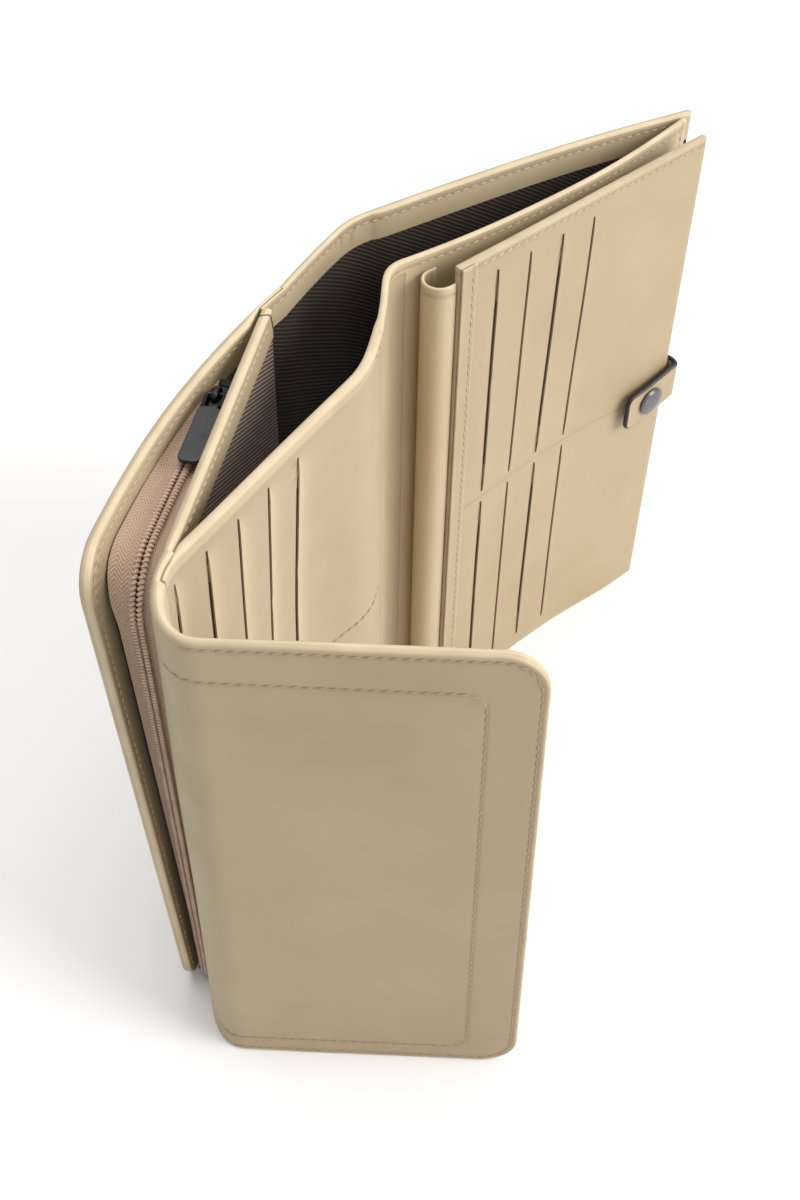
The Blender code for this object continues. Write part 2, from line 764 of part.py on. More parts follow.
def build_divider(plan, body, finish):
    """Wall between the zip pocket and the bill compartment."""
    track = plan.divider
    facing, board, leather = plan.divider_layers
    lining = (facing[1] - LINING, facing[1])
    columns = spread(0.0, DIVIDER_LENGTH, STRAIGHT_STEP)
    mesh = layer_mesh("divider_leather", track, leather, columns, straight_rows(0.0, HEIGHT))
    body.add("divider_leather", mesh, finish["cover_leather"])
    columns = spread(DIVIDER_LINING_START, DIVIDER_LENGTH - BOARD_INSET, STRAIGHT_STEP)
    mesh = layer_mesh("divider_board", track, board, columns, straight_rows(BOARD_INSET, HEIGHT - BOARD_INSET))
    body.add("divider_board", mesh, finish["stiff_board"])
    columns = spread(DIVIDER_LINING_START, DIVIDER_LENGTH, STRAIGHT_STEP)
    banded_lining(body, ("divider_lining", "divider_facing"), track, (lining, facing), columns, finish)


def build_back(plan, root, wing, finish):
    """The cover behind the bill compartment: the loose spine and the back panel."""
    leather, board, lining = [(-high, -low) for low, high in plan.cover_layers]
    facing = (-plan.cover_facing[1], -plan.cover_facing[0])
    spine = plan.spine
    columns = spread(CLEARANCE, spine.length - CLEARANCE / 2, FINE_STEP)
    mesh = layer_mesh("spine_leather", spine, leather, columns, straight_rows(0.0, HEIGHT))
    root.add("spine_leather", mesh, finish["cover_leather"])
    near = -COVER_LEATHER - CLEARANCE
    spine_sheets = ((near - LINING, near), (near - FACING_LEATHER, near))
    banded_lining(root, ("spine_lining", "spine_facing"), spine, spine_sheets, columns, finish)

    back = plan.back
    columns = spread(CLEARANCE / 2, BACK_LENGTH, CURVE_STEP)
    mesh = layer_mesh("back_leather", back, leather, columns, straight_rows(0.0, HEIGHT))
    wing.add("back_leather", mesh, finish["cover_leather"])
    columns = spread(BOARD_INSET, BACK_LENGTH - BOARD_INSET, CURVE_STEP)
    rows = straight_rows(BOARD_INSET, HEIGHT - BOARD_INSET)
    mesh = layer_mesh("back_board", back, board, columns, rows)
    wing.add("back_board", mesh, finish["stiff_board"])
    columns = spread(BOARD_INSET, BACK_LENGTH, CURVE_STEP)
    banded_lining(wing, ("back_lining", "back_facing"), back, (lining, facing), columns, finish)


def build_card_panel(plan, body, finish):
    """Card panel with its slits, pocket cloth and the facing and lining on the compartment's side."""
    track = plan.card
    face, pockets, back = plan.card_layers
    slits = [CARD_SLIT_FIRST + CARD_SLIT_PITCH * index for index in range(CARD_SLIT_COUNT)]
    end = track.length - CLEARANCE
    slit_panel(body, "card_panel_face", track, face, (0.0, end), slits, finish["inner_leather"])
    columns = spread(CARD_BACK_START, end, CURVE_STEP)
    rows = straight_rows(BOARD_INSET, HEIGHT - SLIT_END_INSET / 2)
    mesh = layer_mesh("card_panel_pockets", track, pockets, columns, rows)
    body.add("card_panel_pockets", mesh, finish["twill_lining"])
    lining = (back[0], back[0] + LINING)
    names = ("card_panel_lining", "card_panel_facing")
    banded_lining(body, names, track, (lining, back), columns, finish)


def build_inner_corner(plan, body, finish):
    """Loose strip of leather that turns from the card panel into the document panel."""
    curve = plan.corner
    columns = spread(CLEARANCE / 2, curve.length - CLEARANCE / 2, FINE_STEP)
    sheets = plan.document_layers
    mesh = layer_mesh("inner_corner_leather", curve, sheets[0], columns, straight_rows(CLEARANCE, HEIGHT))
    body.add("inner_corner_leather", mesh, finish["inner_leather"])
    lining = (sheets[1][0], sheets[1][0] + LINING)
    names = ("inner_corner_lining", "inner_corner_facing")
    banded_lining(body, names, curve, (lining, sheets[1]), columns, finish, CLEARANCE)


def build_document_panel(plan, body, finish):
    """Panel behind the leaf, with the bill compartment's lining at its back, and the rolled gusset."""
    track = plan.document
    face, back = plan.document_layers
    columns = spread(CLEARANCE / 2, DOCUMENT_LENGTH, CURVE_STEP)
    mesh = layer_mesh("document_leather", track, face, columns, straight_rows(0.0, HEIGHT))
    body.add("document_leather", mesh, finish["inner_leather"])
    lining = (back[0], back[0] + LINING)
    banded_lining(body, ("document_lining", "document_facing"), track, (lining, back), columns, finish)
    roll = plan.roll
    offsets = (-ROLL_LEATHER / 2, ROLL_LEATHER / 2)
    columns = spread(0.0, roll.length, SHORT_CURVE_STEP)
    rows = straight_rows(ROLL_END_INSET, HEIGHT - ROLL_END_INSET)
    mesh = layer_mesh("roll_gusset", roll, offsets, columns, rows)
    body.add("roll_gusset", mesh, finish["leaf_leather"])


def build_leaf(plan, body, finish):
    """Card leaf: slit face, pocket cloth, leather back and the binding along its rolled edge."""
    track = plan.leaf
    face, pockets, back = plan.leaf_layers
    first = LEAF_LENGTH - LEAF_SLIT_FROM_FREE_EDGE
    slits = [first - LEAF_SLIT_PITCH * index for index in reversed(range(LEAF_SLIT_COUNT))]
    slit_panel(body, "leaf_face", track, face, (0.0, LEAF_LENGTH), slits, finish["leaf_leather"])
    columns = spread(BOARD_INSET, LEAF_LENGTH - BOARD_INSET, STRAIGHT_STEP)
    rows = straight_rows(BOARD_INSET, HEIGHT - SLIT_END_INSET / 2)
    mesh = layer_mesh("leaf_pockets", track, pockets, columns, rows)
    body.add("leaf_pockets", mesh, finish["twill_lining"])
    columns = spread(0.0, LEAF_LENGTH, STRAIGHT_STEP)
    mesh = layer_mesh("leaf_back", track, back, columns, straight_rows(0.0, HEIGHT))
    body.add("leaf_back", mesh, finish["leaf_leather"])
    over = (face[0] - CLEARANCE - LEAF_BINDING_LEATHER, face[0] - CLEARANCE)
    columns = spread(0.0, LEAF_BINDING_WIDTH, CURVE_STEP)
    mesh = layer_mesh("leaf_binding", track, over, columns, straight_rows(0.0, HEIGHT))
    body.add("leaf_binding", mesh, finish["leaf_leather"])


def build_strap(plan, leaf, strap, finish):
    """Strap round the leaf's free edge: its tab in front, its bend and the end that is sewn to the back."""
    track = plan.leaf
    low = STRAP_HEIGHT - STRAP_WIDTH / 2
    high = STRAP_HEIGHT + STRAP_WIDTH / 2
    tip = LEAF_LENGTH - STRAP_REACH

    def tab_rows(along):
        past = max(0.0, tip + STRAP_CORNER - along)
        drop = STRAP_CORNER - math.sqrt(max(0.0, STRAP_CORNER ** 2 - min(past, STRAP_CORNER) ** 2))
        return [low + drop, high - drop]

    columns = spread(tip, tip + STRAP_CORNER, STRAP_BEND_STEP)
    columns += spread(tip + STRAP_CORNER, LEAF_LENGTH, CURVE_STEP)[1:]
    mesh = layer_mesh("strap_tab", track, plan.strap_tab, columns, tab_rows)
    strap.add("strap_tab", mesh, finish["strap_leather"])

    columns = spread(LEAF_LENGTH - STRAP_BACK_REACH, LEAF_LENGTH, CURVE_STEP)
    mesh = layer_mesh("strap_anchor", track, plan.strap_anchor, columns, straight_rows(low, high))
    leaf.add("strap_anchor", mesh, finish["strap_leather"])

    start = track.at(LEAF_LENGTH + CLEARANCE, sum(plan.strap_tab) / 2)
    end = track.at(LEAF_LENGTH + CLEARANCE, sum(plan.strap_anchor) / 2)
    shares = STRAP_BEND_HANDLE_SHARES
    bend = Track.joining(start, LEAF_HEADING, end, LEAF_HEADING + 180, shares, STRAP_BEND_STEP)
    half = STRAP_LEATHER / 2
    mesh = layer_mesh("strap_bend", bend, (-half, half), bend.marks, straight_rows(low, high))
    leaf.add("strap_bend", mesh, finish["strap_leather"])


def build_stud(plan, leaf, strap, finish):
    """Press stud: a domed cap and a socket ring on the strap's tab, and a post on the leaf's face."""
    out = direction(LEAF_HEADING - 90)
    normal = Vector((out.x, out.y, 0.0))
    at = plan.leaf.at(LEAF_LENGTH - STUD_FROM_EDGE)
    centre = Vector((at.x, at.y, STRAP_HEIGHT))
    tab_outside, tab_inside = plan.strap_tab

    rim = STUD_CAP_HEIGHT / 4
    profile = [(0.0, 0.0), (STUD_CAP_RADIUS, 0.0)]
    for index in range(STUD_DOME_STEPS):
        angle = math.pi / 2 * index / STUD_DOME_STEPS
        rise = rim + (STUD_CAP_HEIGHT - rim) * math.sin(angle)
        profile.append((STUD_CAP_RADIUS * math.cos(angle), rise))
    profile.append((0.0, STUD_CAP_HEIGHT))
    mesh = turned_mesh("snap_cap", profile, centre + normal * (CLEARANCE - tab_outside), normal)
    strap.add("snap_cap", mesh, finish["nickel"], 40)

    bore = STUD_POST_RADIUS + CLEARANCE
    deep = CLEARANCE - STUD_RING_HEIGHT
    profile = [(bore, deep), (STUD_RING_RADIUS, deep), (STUD_RING_RADIUS, 0.0), (bore, 0.0)]
    mesh = turned_mesh("snap_socket", profile, centre - normal * (tab_inside + SEATED_GAP), normal)
    strap.add("snap_socket", mesh, finish["nickel"], 40)

    leaf_face = plan.leaf_layers[0][0]
    profile = [(0.0, 0.0), (STUD_POST_RADIUS, 0.0), (STUD_POST_RADIUS, STUD_POST_HEIGHT), (0.0, STUD_POST_HEIGHT)]
    mesh = turned_mesh("snap_stud", profile, centre + normal * (SEATED_GAP - leaf_face), normal)
    leaf.add("snap_stud", mesh, finish["nickel"], 40)


def flap_mesh(name, plan, offsets, columns, rows):
    """A sheet of the flap, narrower towards the top of its free edge."""

    def place(along, height, face):
        taken = FLAP_TAPER * height / HEIGHT * (along / FLAP_LENGTH) ** 2
        point = plan.flap.at(along - taken, offsets[face])
        return Vector((point.x, point.y, height))

    return sheet_mesh(name, place, columns, rows)


def build_flap(plan, root, flap, finish):
    """Front flap with its board, lining and inner slip pocket, and the fold that joins it to the wallet."""
    track = plan.flap
    leather, board, lining, pocket = plan.flap_layers
    columns = rounded_columns(CLEARANCE, FLAP_LENGTH, FLAP_CORNER, STRAIGHT_STEP)
    rows = rounded_rows(0.0, HEIGHT, FLAP_LENGTH, FLAP_CORNER)
    mesh = flap_mesh("flap_leather", plan, leather, columns, rows)
    flap.add("flap_leather", mesh, finish["cover_leather"])
    free = FLAP_LENGTH - BOARD_INSET
    corner = FLAP_CORNER - BOARD_INSET
    columns = rounded_columns(BOARD_INSET, free, corner, STRAIGHT_STEP)
    rows = rounded_rows(BOARD_INSET, HEIGHT - BOARD_INSET, free, corner)
    mesh = flap_mesh("flap_board", plan, board, columns, rows)
    flap.add("flap_board", mesh, finish["stiff_board"])
    inset = BOARD_INSET / 2
    free = FLAP_LENGTH - inset
    columns = rounded_columns(CLEARANCE, free, FLAP_CORNER - inset, STRAIGHT_STEP)
    rows = rounded_rows(inset, HEIGHT - inset, free, FLAP_CORNER - inset)
    mesh = flap_mesh("flap_lining", plan, lining, columns, rows)
    flap.add("flap_lining", mesh, finish["inner_leather"])
    free = FLAP_LENGTH - FLAP_POCKET_FREE_INSET
    columns = rounded_columns(BOARD_INSET, free, FLAP_POCKET_CORNER, STRAIGHT_STEP)
    top = HEIGHT - FLAP_POCKET_TOP_INSET
    rows = rounded_rows(FLAP_POCKET_BASE_INSET, top, free, FLAP_POCKET_CORNER)
    mesh = flap_mesh("flap_pocket", plan, pocket, columns, rows)
    flap.add("flap_pocket", mesh, finish["inner_leather"])

    shares = (FOLD_HANDLE_SHARE, FOLD_HANDLE_SHARE)
    outer_start = track.at(0.0, sum(leather) / 2)
    outer_end = plan.divider.at(-CLEARANCE, sum(plan.divider_layers[2]) / 2)
    outer = Track.joining(outer_start, FLAP_HEADING - 180, outer_end, DIVIDER_HEADING - 360, shares, FINE_STEP)
    half = COVER_LEATHER / 2
    columns = spread(0.0, outer.length, FINE_STEP)
    mesh = layer_mesh("front_fold_leather", outer, (-half, half), columns, straight_rows(CLEARANCE, HEIGHT))
    root.add("front_fold_leather", mesh, finish["cover_leather"])
    inner_start = track.at(0.0, sum(lining) / 2)
    inner_end = plan.card.at(-CLEARANCE, sum(plan.card_layers[0]) / 2)
    inner = Track.joining(inner_start, FLAP_HEADING - 180, inner_end, CARD_HEADING - 360, shares, FINE_STEP)
    half = FACING_LEATHER / 2
    columns = spread(0.0, inner.length, FINE_STEP)
    rows = straight_rows(CLEARANCE, HEIGHT - BOARD_INSET / 2)
    mesh = layer_mesh("front_fold_lining", inner, (-half, half), columns, rows)
    root.add("front_fold_lining", mesh, finish["inner_leather"])


def slide_heading(plan):
    """Heading of the zip's top run, from its start towards the free edge."""
    height = HEIGHT - ZIP_TOP_INSET
    near = plan.pocket_place(ZIP_START, 0.0, height)
    far = plan.pocket_place(ZIP_PANEL_LENGTH - ZIP_FREE_INSET - ZIP_CORNER, 0.0, height)
    return math.degrees(math.atan2(far.y - near.y, far.x - near.x))


def build_tapes(plan, root, panel, finish):
    """The zip's tapes, its chain in two halves and its top stop."""
    path = zip_path()
    tape, chain, _ = plan.zip_levels
    half_chain = CHAIN_SPLIT / 2 + CHAIN_WIDTH
    tape_edge = half_chain - CHAIN_WIDTH * TAPE_UNDER_CHAIN_SHARE

    def outer_edges(along, height):
        return plan.pocket_edges(along, height)[0], -tape_edge

    def inner_edges(along, height):
        return tape_edge, plan.pocket_edges(along, height)[1]

    panel.add("zip_tape_outer", zip_ribbon(plan, "zip_tape_outer", path, tape, outer_edges), finish["zip_tape"])
    root.add("zip_tape_inner", zip_ribbon(plan, "zip_tape_inner", path, tape, inner_edges), finish["zip_tape"])

    web_end = SLIDER_AT - SLIDER_LENGTH / 2 + SLIDER_WEB_LENGTH
    chain_path = [(web_end + CLEARANCE, *path[0][1:])]
    chain_path += [step for step in path if step[0] > web_end + CURVE_STEP / 2]
    mesh = zip_ribbon(plan, "zip_chain_outer", chain_path, chain, lambda *_: (-half_chain, -CHAIN_SPLIT / 2))
    root.add("zip_chain_outer", mesh, finish["zip_chain"])
    mesh = zip_ribbon(plan, "zip_chain_inner", chain_path, chain, lambda *_: (CHAIN_SPLIT / 2, half_chain))
    root.add("zip_chain_inner", mesh, finish["zip_chain"])

    start = ZIP_START + STOP_LENGTH / 2
    stop_path = [(start, *path[0][1:]), (start + STOP_LENGTH, *path[0][1:])]
    mesh = zip_ribbon(plan, "zip_top_stop", stop_path, chain, lambda *_: (-half_chain, half_chain))
    root.add("zip_top_stop", mesh, finish["dark_metal"])


def build_slider(plan, slider, finish):
    """Slider: a plate above and one below the zip, joined by a web, with a bridge for the bail on top."""
    heading = slide_heading(plan)
    along = Vector((*direction(heading), 0.0))
    across = Vector((*direction(heading + 90), 0.0))
    tape_base = HEIGHT - ZIP_TOP_INSET
    centre = plan.pocket_place(SLIDER_AT, 0.0, tape_base)
    plate = plan.zip_levels[2]
    under = (-CLEARANCE - SLIDER_PLATE, -CLEARANCE)
    finish = finish["dark_metal"]
    size = (SLIDER_LENGTH, SLIDER_WIDTH, SLIDER_PLATE)
    lift = Vector((0.0, 0.0, sum(plate) / 2))
    body = slider.add("slider_body", box_mesh("slider_body", centre + lift, size, heading), finish)
    lift = Vector((0.0, 0.0, sum(under) / 2))
    name = "slider_under_guide"
    under_guide = slider.add(name, box_mesh(name, centre + lift, size, heading), finish)
    back = along * (SLIDER_LENGTH - SLIDER_WEB_LENGTH) / 2
    lift = Vector((0.0, 0.0, (under[0] + plate[1]) / 2))
    size = (SLIDER_WEB_LENGTH - CLEARANCE, SLIDER_WEB_WIDTH, plate[1] - under[0] - SLIDER_PLATE)
    name = "slider_web_guide"
    web_guide = slider.add(name, box_mesh(name, centre - back + lift, size, heading), finish)
    joined(body, under_guide, web_guide)

    half = BRIDGE_LENGTH / 2
    shoulder = half - BRIDGE_WALL
    window = BRIDGE_HEIGHT - BRIDGE_WALL
    outline = [(-half, 0.0), (-shoulder, 0.0), (-shoulder, window), (shoulder, window), (shoulder, 0.0)]
    outline += [(half, 0.0), (half, window), (shoulder, BRIDGE_HEIGHT)]
    outline += [(-shoulder, BRIDGE_HEIGHT), (-half, window)]
    base = centre + Vector((0.0, 0.0, plate[1] + SEATED_GAP))
    vertices = []
    for side in (-BRIDGE_WIDTH / 2, BRIDGE_WIDTH / 2):
        vertices += [base + along * run + across * side + Vector((0.0, 0.0, rise)) for run, rise in outline]
    slider.add("slider_bridge", mesh_from("slider_bridge", vertices, prism_faces(len(outline))), finish)


def build_pull(plan, pull, finish):
    """Bail under the slider's bridge, and the flat tab that hangs on it and lies along the divider."""
    heading = DIVIDER_HEADING + 180
    along = Vector((*direction(heading), 0.0))
    across = Vector((*direction(heading + 90), 0.0))
    bar = pull_axis(plan)
    half = BAIL_WIDTH / 2
    corner = half - BAIL_WIRE
    route = [(BAIL_LENGTH, half), (BAIL_WIRE, half), (0.0, corner)]
    route += [(0.0, -corner), (BAIL_WIRE, -half), (BAIL_LENGTH, -half)]
    line = [bar + along * run + across * side for run, side in route]
    pull.add("pull_bail", tube_mesh("pull_bail", line, BAIL_WIRE, BAIL_SIDES), finish["dark_metal"], 50)

    near = BAIL_LENGTH + CLEARANCE
    far = near + PULL_LENGTH
    wide = PULL_WIDTH / 2
    neck = half + BAIL_WIRE - CLEARANCE
    outline = [(near, neck), (near + PULL_CORNER, wide), (far - PULL_CORNER, wide), (far, wide - PULL_CORNER)]
    outline += [(run, -side) for run, side in reversed(outline)]
    points = [bar + along * run + across * side for run, side in outline]
    low = bar.z - PULL_THICKNESS / 2
    pull.add("pull_tab", prism_mesh("pull_tab", points, low, low + PULL_THICKNESS), finish["dark_metal"])


def pull_axis(plan):
    """Centre of the bail's bar, under the slider's bridge."""
    window = BRIDGE_HEIGHT - BRIDGE_WALL
    rise = plan.zip_levels[2][1] + SEATED_GAP + window / 2
    return plan.pocket_place(SLIDER_AT, 0.0, HEIGHT - ZIP_TOP_INSET + rise)


def build_floors(plan, root, finish):
    """Cloth floors of the bill compartment and the zip pocket, sewn in at the bottom."""
    divider_side = plan.divider_layers[0][0] - FLOOR_MARGIN
    cover_side = -plan.cover_depth - FLOOR_MARGIN
    document_side = plan.document_layers[-1][1] + FLOOR_MARGIN
    card_side = plan.card_layers[-1][1] + FLOOR_MARGIN
    far_end = DOCUMENT_LENGTH - FLOOR_FAR_GAP
    runs = (
        (plan.divider, FLOOR_DIVIDER_START, DIVIDER_LENGTH, divider_side, False),
        (plan.spine, SPINE_FLANK / 2, plan.spine.length, cover_side, False),
        (plan.back, CURVE_STEP, BACK_LENGTH - FLOOR_FAR_GAP, cover_side, False),
        (plan.document, FLOOR_CORNER_GAP, far_end, document_side, True),
        (plan.corner, FLOOR_CORNER_GAP, plan.corner.length - FLOOR_CORNER_GAP, document_side, True),
        (plan.card, FLOOR_CARD_START, plan.card.length - FLOOR_CORNER_GAP, card_side, True),
    )
    outline = []
    for track, start, end, side, backwards in runs:
        places = spread(start, end, CURVE_STEP)
        if backwards:
            places.reverse()
        outline += [track.at(along, side) for along in places]
    mesh = prism_mesh("compartment_floor", outline, FLOOR_HEIGHT, FLOOR_HEIGHT + FLOOR_THICKNESS)
    root.add("compartment_floor", mesh, finish["twill_lining"])

    places = spread(ZIP_START, ZIP_PANEL_LENGTH - ZIP_FREE_INSET, CURVE_STEP)
    outline = [plan.pocket_sides(along, FLOOR_HEIGHT)[0] for along in places]
    outline += [plan.pocket_sides(along, FLOOR_HEIGHT)[1] for along in reversed(places)]
    mesh = prism_mesh("zip_pocket_floor", outline, FLOOR_HEIGHT, FLOOR_HEIGHT + FLOOR_THICKNESS)
    root.add("zip_pocket_floor", mesh, finish["twill_lining"])


def upright(point):
    """Plan point as a place on the floor."""
    return Vector((point.x, point.y, 0.0))


def stand_over_origin(roots):
    """Move the wallet so that its outline's middle stands over the origin."""
    bpy.context.view_layer.update()
    corners = []
    for thing in bpy.data.objects:
        if thing.type == "MESH" and not thing.hide_render:
            corners += [thing.matrix_world @ vertex.co for vertex in thing.data.vertices]
    middle_x = (min(c.x for c in corners) + max(c.x for c in corners)) / 2
    middle_y = (min(c.y for c in corners) + max(c.y for c in corners)) / 2
    for body in roots:
        body.empty.location -= Vector((middle_x, middle_y, 0.0))
    bpy.context.view_layer.update()


def build():
    """Build the wallet and print where its joints lie."""
    for thing in list(bpy.data.objects):
        bpy.data.objects.remove(thing, do_unlink=True)
    finish = finishes()
    plan = Plan()
    root = Body("middle")
    zip_panel = Body("zip_panel", upright(CREASE), root)
    card_panel = Body("card_panel", upright(plan.card.at(CARD_HINGE_AT)), root)
    flap = Body("flap", upright(plan.fold_centre), root)
    wing = Body("back_wing", upright(WING_AXIS), root)
    far_seat = plan.document.points[-1]
    document = Body("document_wing", upright(far_seat), wing)
    leaf = Body("leaf", upright(plan.leaf.points[0]), document)
    strap = Body("strap", upright(plan.leaf.at(LEAF_LENGTH + STRAP_HINGE_OUT)), leaf)
    slider_place = plan.pocket_place(SLIDER_AT, 0.0, HEIGHT - ZIP_TOP_INSET)
    slider = Body("slider", slider_place, root)
    pull = Body("pull", pull_axis(plan), slider)

    build_divider(plan, root, finish)
    build_zip_panel(plan, zip_panel, finish)
    build_back(plan, root, wing, finish)
    build_card_panel(plan, card_panel, finish)
    build_inner_corner(plan, card_panel, finish)
    build_document_panel(plan, document, finish)
    build_leaf(plan, leaf, finish)
    build_strap(plan, leaf, strap, finish)
    build_stud(plan, leaf, strap, finish)
    build_flap(plan, root, flap, finish)
    build_tapes(plan, root, zip_panel, finish)
    build_slider(plan, slider, finish)
    build_pull(plan, pull, finish)
    build_floors(plan, root, finish)
    stand_over_origin([root])

    for body in (zip_panel, card_panel, flap, wing, document, leaf, strap, slider, pull):
        place = body.empty.matrix_world.translation
        print(f"joint of {body.name}: {place.x:.5f} {place.y:.5f} {place.z:.5f}")
    print(f"zip runs towards heading {slide_heading(plan):.2f}")


build()
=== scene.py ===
"""A travel wallet in cream leather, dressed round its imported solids.

Every panel is drawn in its own flat coordinates, (along, height, offset), and then laid along the panel's
track in plan, as the solids are. Lengths are in metres and headings in degrees, counted from +X towards +Y.
"""
from __future__ import annotations

import json
import logging
import math
from collections.abc import Callable, Sequence
from dataclasses import dataclass, field
from enum import Enum

import bpy
import numpy as np
from mathutils import Matrix, Vector


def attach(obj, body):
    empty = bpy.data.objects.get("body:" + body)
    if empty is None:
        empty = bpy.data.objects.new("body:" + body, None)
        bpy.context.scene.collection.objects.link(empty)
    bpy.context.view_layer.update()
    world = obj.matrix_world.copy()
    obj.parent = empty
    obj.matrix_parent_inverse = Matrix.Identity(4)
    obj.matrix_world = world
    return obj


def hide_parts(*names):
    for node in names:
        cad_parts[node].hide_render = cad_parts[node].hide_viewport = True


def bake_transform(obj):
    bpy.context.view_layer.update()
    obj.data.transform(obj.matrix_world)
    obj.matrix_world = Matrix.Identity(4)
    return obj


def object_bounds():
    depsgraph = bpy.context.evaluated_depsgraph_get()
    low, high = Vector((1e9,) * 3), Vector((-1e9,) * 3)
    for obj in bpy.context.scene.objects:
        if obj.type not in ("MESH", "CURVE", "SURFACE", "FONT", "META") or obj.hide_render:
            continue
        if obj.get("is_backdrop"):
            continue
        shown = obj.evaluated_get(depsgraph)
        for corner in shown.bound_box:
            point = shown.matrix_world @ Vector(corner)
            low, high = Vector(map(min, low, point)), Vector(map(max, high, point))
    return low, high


LOG = logging.getLogger("wallet")
Array = np.ndarray
Place = Callable[[Array, Array, Array], Array]
Level = Callable[[Array], Array]
Relief = Callable[[Array, Array], Array]

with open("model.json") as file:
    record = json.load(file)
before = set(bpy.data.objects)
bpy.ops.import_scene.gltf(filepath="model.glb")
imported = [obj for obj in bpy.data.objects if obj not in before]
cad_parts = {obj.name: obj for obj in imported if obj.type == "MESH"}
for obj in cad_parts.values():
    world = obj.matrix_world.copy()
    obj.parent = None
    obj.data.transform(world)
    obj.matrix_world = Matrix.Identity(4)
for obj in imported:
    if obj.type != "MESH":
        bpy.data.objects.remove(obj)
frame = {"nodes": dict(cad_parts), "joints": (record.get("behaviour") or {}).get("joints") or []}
CAD_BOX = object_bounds()

# Sizes that the whole wallet shares, as the solids have them
HEIGHT = 0.190
CLEARANCE = 0.0003
FACING_BAND = 0.009
CREASE_IN_PLAN = (-0.0340, 0.1127)

# Seams that several panels share: inset, and the depth and width of their channel
MIDDLE = HEIGHT / 2
SEAM_IN = 0.0026
SEAM_DEPTH = 0.00014
SEAM_WIDTH = 0.0006
TOP_SEAM = HEIGHT - SEAM_IN
# Lower edge of the facing band, the slope below it, and how far a thin lining lies below the band
BAND_EDGE = HEIGHT - FACING_BAND
BAND_SLOPE = 0.0002
BAND_ROWS = (BAND_EDGE - BAND_SLOPE, BAND_EDGE)
BAND_STEP = 0.0002
# Upper and lower edge of a lining, and the width of a raw edge
LINING_TOP = BAND_EDGE - 0.0003
LINING_FOOT = 0.0004
RAW_EDGE = 0.0006


class Face(Enum):
    """The two faces of a panel: the outer one lies at its lower offset."""

    NEAR = -1
    FAR = 1


def heading_vector(heading: float) -> Array:
    """Unit vector of a heading, in plan."""
    return np.array([math.cos(math.radians(heading)), math.sin(math.radians(heading))])


def plan_shift() -> Array:
    """How far the solids stand from their drawing.

    Returns:
        The zip panel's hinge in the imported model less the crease's place in plan.
    """
    hinge = next(joint for joint in frame["joints"] if joint["child"] == "zip_panel")
    return np.array(hinge["pos_m"][:2]) - np.array(CREASE_IN_PLAN)


def smooth_step(low: float, high: float, value: Array) -> Array:
    """Blend from 0 to 1: t * t * (3 - 2 * t), with t the value's share of the way from low to high."""
    share = np.clip((value - low) / (high - low), 0.0, 1.0)
    return share * share * (3.0 - 2.0 * share)


def bump(value: Array, centre: float, width: float) -> Array:
    """Bell of height 1: exp(-((value - centre) / width) squared)."""
    return np.exp(-(((value - centre) / width) ** 2))


def running_length(points: Array) -> Array:
    """Length along a line at each of its points, from 0."""
    return np.concatenate([[0.0], np.cumsum(np.linalg.norm(np.diff(points, axis=0), axis=1))])


def raised(plan: Array, height: Array | float) -> Array:
    """Places in the world above places in plan."""
    return np.concatenate([plan, np.broadcast_to(height, plan.shape[:-1])[..., None]], axis=-1)


def at_height(plan: Array, height: float = MIDDLE) -> Array:
    """One place in the world above a place in plan."""
    return np.array([plan[0], plan[1], height])


def rounded_inset(along: Array, height: Array, end: float, heights: tuple[float, float], corner: float,
                  steepness: float = 1.0) -> Array:
    """Distance in from the rim of a box without a start, whose end has two rounded corners.

    Beyond a corner's centre it is the radius less the distance from that centre; elsewhere it is the distance
    from the nearer side.

    Args:
        along: Lengths along.
        height: Heights.
        end: Where the box ends, along.
        heights: Its lower and upper side.
        corner: Radius of its two corners.
        steepness: How fast the distance from its end counts.

    Returns:
        The distances, negative outside the box.
    """
    low, high = heights
    past = (along - (end - corner)) * steepness
    beyond = np.abs(height - (low + high) / 2) - ((high - low) / 2 - corner)
    outside = np.hypot(np.maximum(past, 0.0), np.maximum(beyond, 0.0))
    return corner - outside - np.minimum(np.maximum(past, beyond), 0.0)


